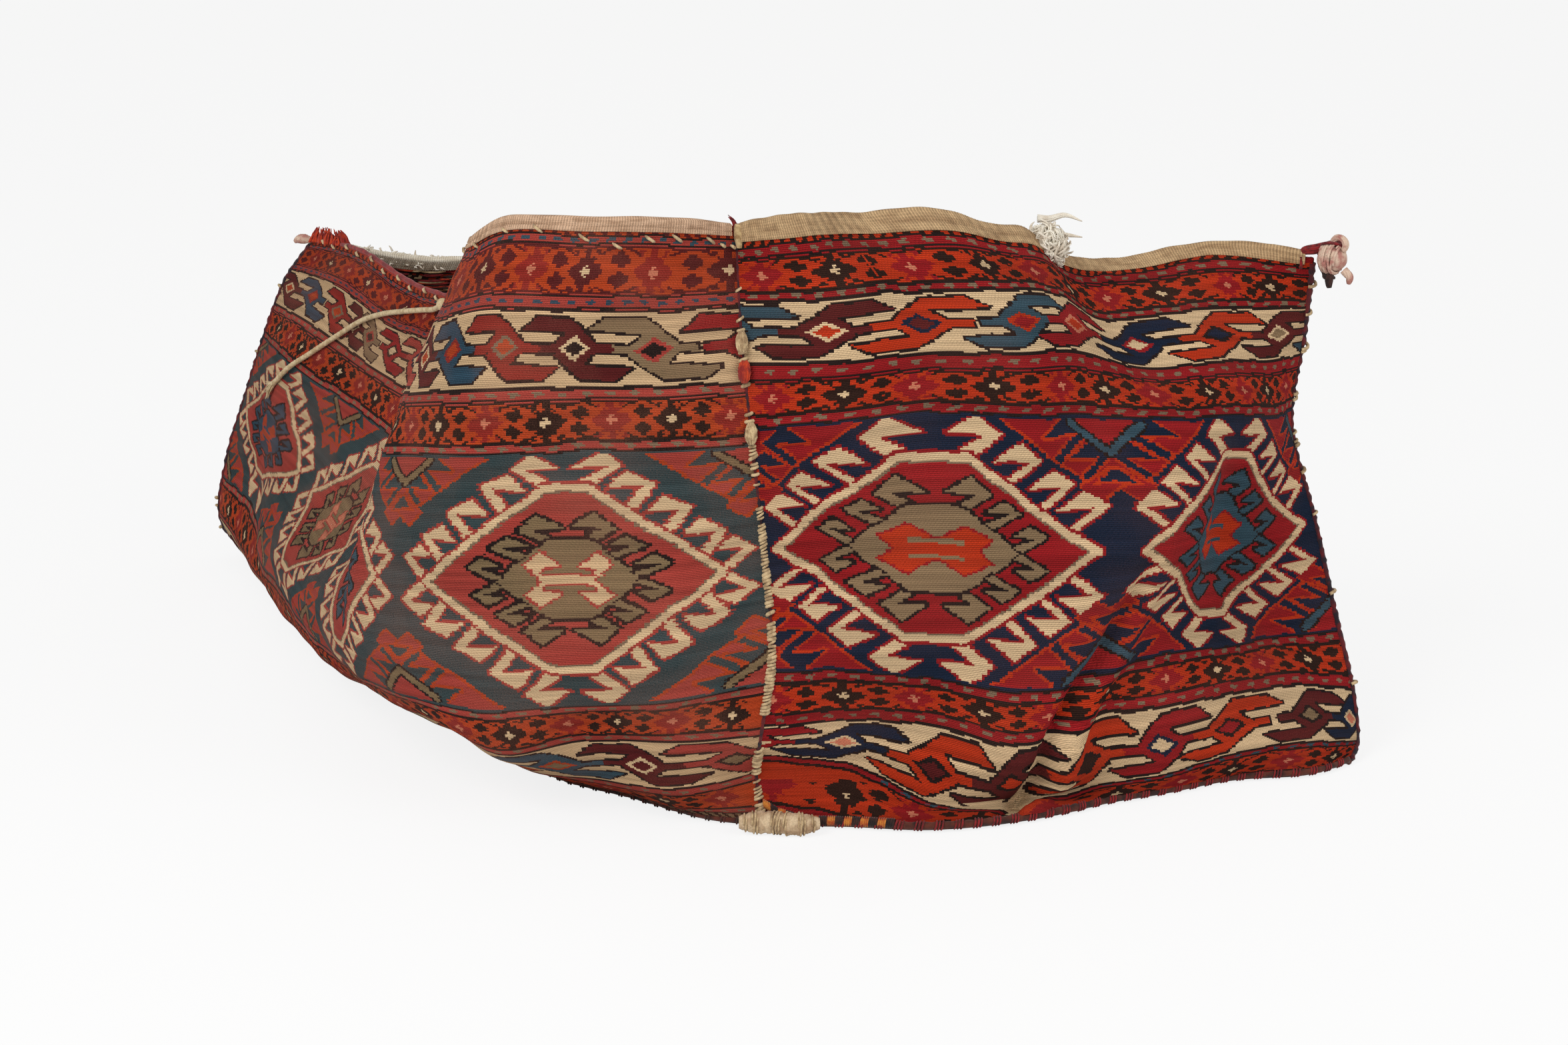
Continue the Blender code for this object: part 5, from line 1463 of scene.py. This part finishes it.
arch = []
for i in range(21):
    t = i / 20
    angle = math.radians(88 - 50 * t * t * (3 - 2 * t))
    reach = 0.0122 + 0.0065 * math.sin(math.pi * t)
    arch.append(PIVOT + OUT * math.cos(angle) * reach + UP * math.sin(angle) * reach)
strand_bundle('corner_knot_loop', arch, 0.0026, 7, pale_yarn, (1, 1, 0.95, 1, 1.1, 1, 0.9))
for node, angle, length, curl, lean, mat, slot in (
        ('tassel_hook', -42, 0.012, 0.25, -0.16, pale_yarn, 'beige_plain_weave'),
        ('tassel_dark_end', -86, 0.009, -0.1, 0.34, dark_yarn, 'dark_brown_wool')):
    aim = unit(OUT * math.cos(math.radians(angle)) + UP * math.sin(math.radians(angle)) + SIDE * lean)
    root = PIVOT + aim * TASSEL_ROOT
    middle = PIVOT + aim * (TASSEL_ROOT + length * 0.55) - UP * length * 0.08
    tip = PIVOT + aim * (TASSEL_ROOT + length * 0.8) - UP * length * 0.35 - OUT * length * curl
    strand_bundle(node, smooth((root, middle, tip), 20), 0.0034, 7, mat,
                  (1.0, 1.0, 1.0, 0.95, 0.85, 0.75, 0.5), body='tassel')

# The leftover tie: knot, loop, free cord and frayed end. The knot and the cord lie on the wall with a small gap,
# and the cord starts beside the knot
WALL_HALF = 0.00325
SEAT_GAP = 0.0003
TIE_KNOT_RADIUS = 0.0048
CORD_START = 0.0051
CORD_RADIUS = 0.0023
CORD_ROUTE = ((0.655, 0.022), (0.675, 0.040), (0.700, 0.052), (0.735, 0.075), (0.770, 0.110), (0.800, 0.165),
              (0.820, 0.220), (0.845, 0.285), (0.868, 0.335), (0.885, 0.385))


def off_front(across, down, out):
    """A place off the long wall's cloth."""
    return front.point(across, down) + front.away(across, down) * out


knot_mid = off_front(*CORD_ROUTE[0], WALL_HALF + SEAT_GAP + TIE_KNOT_RADIUS)
route = [off_front(a, d, WALL_HALF + CORD_RADIUS + SEAT_GAP) for a, d in CORD_ROUTE[1:]]
aim = unit(route[0] - knot_mid)
route.insert(0, knot_mid + aim * CORD_START)
cord_line = smooth(route, 30)
fine_line = smooth(route, 400)


def twisted(line, radius, plies, turns_per_m, mat):
    """A plied cord as one tube with a lobed, turning section."""
    sides = plies * 6
    tangent = unit(np.gradient(line, axis=0))
    side = unit(np.cross(tangent[0], UP))
    points = []
    for place, along, far in zip(line, tangent, run_lengths(line)):
        side = unit(side - along * (side @ along))
        other = np.cross(along, side)
        for k in range(sides):
            a = k * math.tau / sides
            reach = radius * (0.90 + 0.14 * abs(math.cos(plies * (a - far * turns_per_m * math.tau) / 2)) ** 0.7)
            points.append((place + (side * math.cos(a) + other * math.sin(a)) * reach).tolist())
    return mesh_of('tie_cord', points, tube_faces(len(line), sides), mat)


tie = settle('tie_cord_twist', twisted(fine_line, CORD_RADIUS, 3, 70.0, tie_cotton), ['tie_cord'])
lumpy('tie_knot_core', knot_mid, np.full(3, 0.0040), np.eye(3), tie_cotton, 'tie_knot', 91, 0.1, 3)
knotting = Yarns(8)
for tilt in np.arange(5) * 0.5:
    ring = [knot_mid + 0.0041 * np.array((math.cos(a) * math.cos(tilt),
                                          math.cos(a) * math.sin(tilt) * 0.6 + 0.25 * math.sin(a), math.sin(a)))
            for a in np.linspace(0, math.tau, 24)]
    knotting.add(ring, 0.00125)
knotting.build('tie_knot_turns', tie_cotton, ['tie_knot'])
rim_spot = front.point(0.655, 0.0)
rim_along = unit(front.point(0.660, 0.0) - rim_spot)
rise = unit(UP - rim_along * (UP @ rim_along))
loop_line = [rim_spot + rim_along * math.cos(a) * 0.0055 + rise * (math.sin(a) * 0.0055 + 0.0014)
             for a in np.linspace(0, math.pi, 24)]
strand_bundle('tie_loop', loop_line, 0.0014, 4, grey_yarn, (1, 1, 1), 9.0)

heading = unit(fine_line[-1] - fine_line[-3])
away = front.away(0.885, 0.385)
away = unit(away - heading * (away @ heading))
flat_side = np.cross(heading, away)
frays = Yarns(6)
dice = np.random.default_rng(93)
for k in range(46):
    fan = dice.uniform(-1, 1)
    size = 0.020 * dice.uniform(0.65, 1.0)
    start = fine_line[-1] + flat_side * fan * 0.0016 + away * dice.uniform(-0.0014, 0.0014)
    mid = start + heading * size * 0.5 + flat_side * fan * 0.0030 + away * dice.uniform(-0.0006, 0.0010)
    end = start + heading * size
    end = end + flat_side * (fan * 0.0070 + dice.normal(0, 0.0006)) + away * dice.uniform(-0.0012, 0.0008)
    frays.add(smooth((start - heading * 0.002, start, mid, end), 10), 0.00062 * np.linspace(1.1, 0.5, 10))
frayed = frays.build('tie_cord_fray', tie_cotton, ['tie_cord_end'])

# Yarn ends that stand up from the rim: strands, how far they spread and rise, and their radius
RIM_TIP = (30, 0.0075, 0.0115, 0.0013, orange_yarn)
NEAR_TIP = (9, 0.0030, 0.0105, 0.0009, red_yarn)
tips = [('left_rim_tip_%d' % (i + 1), across, 0.12 * (i - 1.5), RIM_TIP)
        for i, across in enumerate((0.930, 0.952, 0.972, 0.992))]
tips.append(('near_corner_tip', 0.0, -0.8, NEAR_TIP))
for number, (node, across, lean, (strands, spread, rise, radius, mat)) in enumerate(tips):
    foot = front.point(across, 0.0) + UP * 0.0005
    lean = unit(np.array((lean, 0.0, 1.0)))
    spiky = Yarns(6)
    dice = np.random.default_rng(100 + number)
    for _ in range(strands):
        off = np.array((dice.uniform(-1, 1), dice.uniform(-0.5, 0.5), 0.0)) * spread
        bend = dice.uniform(-0.0012, 0.0012)
        tall = rise * dice.uniform(0.35, 1.1)
        path = smooth((foot + off - UP * 0.002, foot + off * 0.8 + lean * tall * 0.5 + np.array((bend, 0, 0)),
                       foot + off * 0.4 + lean * tall), 8)
        spiky.add(path, radius * np.linspace(1.2, 0.25, 8))
    spiky.build(node + '_strands', mat, [node])

knob_out = unit(corner_out['left'][0] * (1, 1, 0))
knob_mid = middle_of('left_corner_knob')
knob_line = smooth((knob_mid - knob_out * 0.0135, knob_mid - knob_out * 0.006 + UP * 0.001, knob_mid,
                    knob_mid + knob_out * 0.003 - UP * 0.002), 30)
strand_bundle('left_corner_knob', knob_line, 0.0046, 11, pale_yarn,
              (0.6, 0.8, 1.0, 1.0, 0.75, 0.4), 5.0)

# Beige hem rolled round its end beside the near corner
hem_end = right.point(0.010, 0.0)
end_roll = Yarns(16)
end_line = smooth((hem_end + UP * 0.001, hem_end - UP * 0.006, right.point(0.008, 0.035)), 24)
end_girth = 0.0042 * np.interp(np.linspace(0, 1, 24), (0, 0.15, 0.6, 1), (0.75, 1, 0.95, 0.6))
end_roll.add(end_line + right.away(0.01, 0.01) * 0.001, end_girth)
end_roll.build('right_hem_rolled_end', hem_yarn, ())


# ---- camera, light and floor ----

camera_data = bpy.data.cameras.new('Camera')
camera_data.lens = 84.87
camera_data.sensor_width = 36.0
camera = shown('Camera', camera_data)
camera.location = (0.0331, -3.0642, 0.95)
camera.rotation_euler = (math.radians(75), 0.0, 0.0)
bpy.context.scene.camera = camera


def area_light(name, place, aim, size, watts):
    data = bpy.data.lights.new(name, 'AREA')
    data.shape = 'SQUARE'
    data.size = size
    data.energy = watts
    lamp = shown(name, data)
    lamp.location = place
    lamp.rotation_euler = (Vector(aim) - Vector(place)).to_track_quat('-Z', 'Y').to_euler()


area_light('Key', (-1.6, -2.6, 2.4), (0, 0, 0.2), 1.6, 62.0)
area_light('Fill', (2.2, -2.0, 1.6), (0, 0, 0.2), 2.0, 26.0)

world = bpy.data.worlds.new('Studio')
bpy.context.scene.world = world
world.use_nodes = True
background = world.node_tree.nodes['Background']
background.inputs['Color'].default_value = (1.0, 1.0, 1.0, 1.0)
background.inputs['Strength'].default_value = 0.55


def pale_floor():
    """A plain floor that looks as bright as the paper behind it, under the bag's soft shadow."""
    half = 40.0
    s = Shade('Floor', 0.9)
    s.shader.inputs['Base Color'].default_value = (0.86, 0.86, 0.85, 1.0)
    s.shader.inputs['Specular IOR Level'].default_value = 0.0
    shine = s.tree.nodes.new('ShaderNodeEmission')
    path = s.tree.nodes.new('ShaderNodeLightPath')
    mix = s.tree.nodes.new('ShaderNodeMixShader')
    out = s.tree.nodes['Material Output']
    seen = s.times(path.outputs['Is Camera Ray'], 0.84)
    s.tree.links.new(seen, mix.inputs[0])
    s.tree.links.new(s.shader.outputs[0], mix.inputs[1])
    s.tree.links.new(shine.outputs[0], mix.inputs[2])
    s.tree.links.new(mix.outputs[0], out.inputs['Surface'])
    corners = [(-half, -half, 0), (half, -half, 0), (half, half, 0), (-half, half, 0)]
    shown('Floor', mesh_of('Floor', corners, [(0, 1, 2, 3)], s.mat))


pale_floor()
bpy.context.scene.view_settings.view_transform = 'Standard'
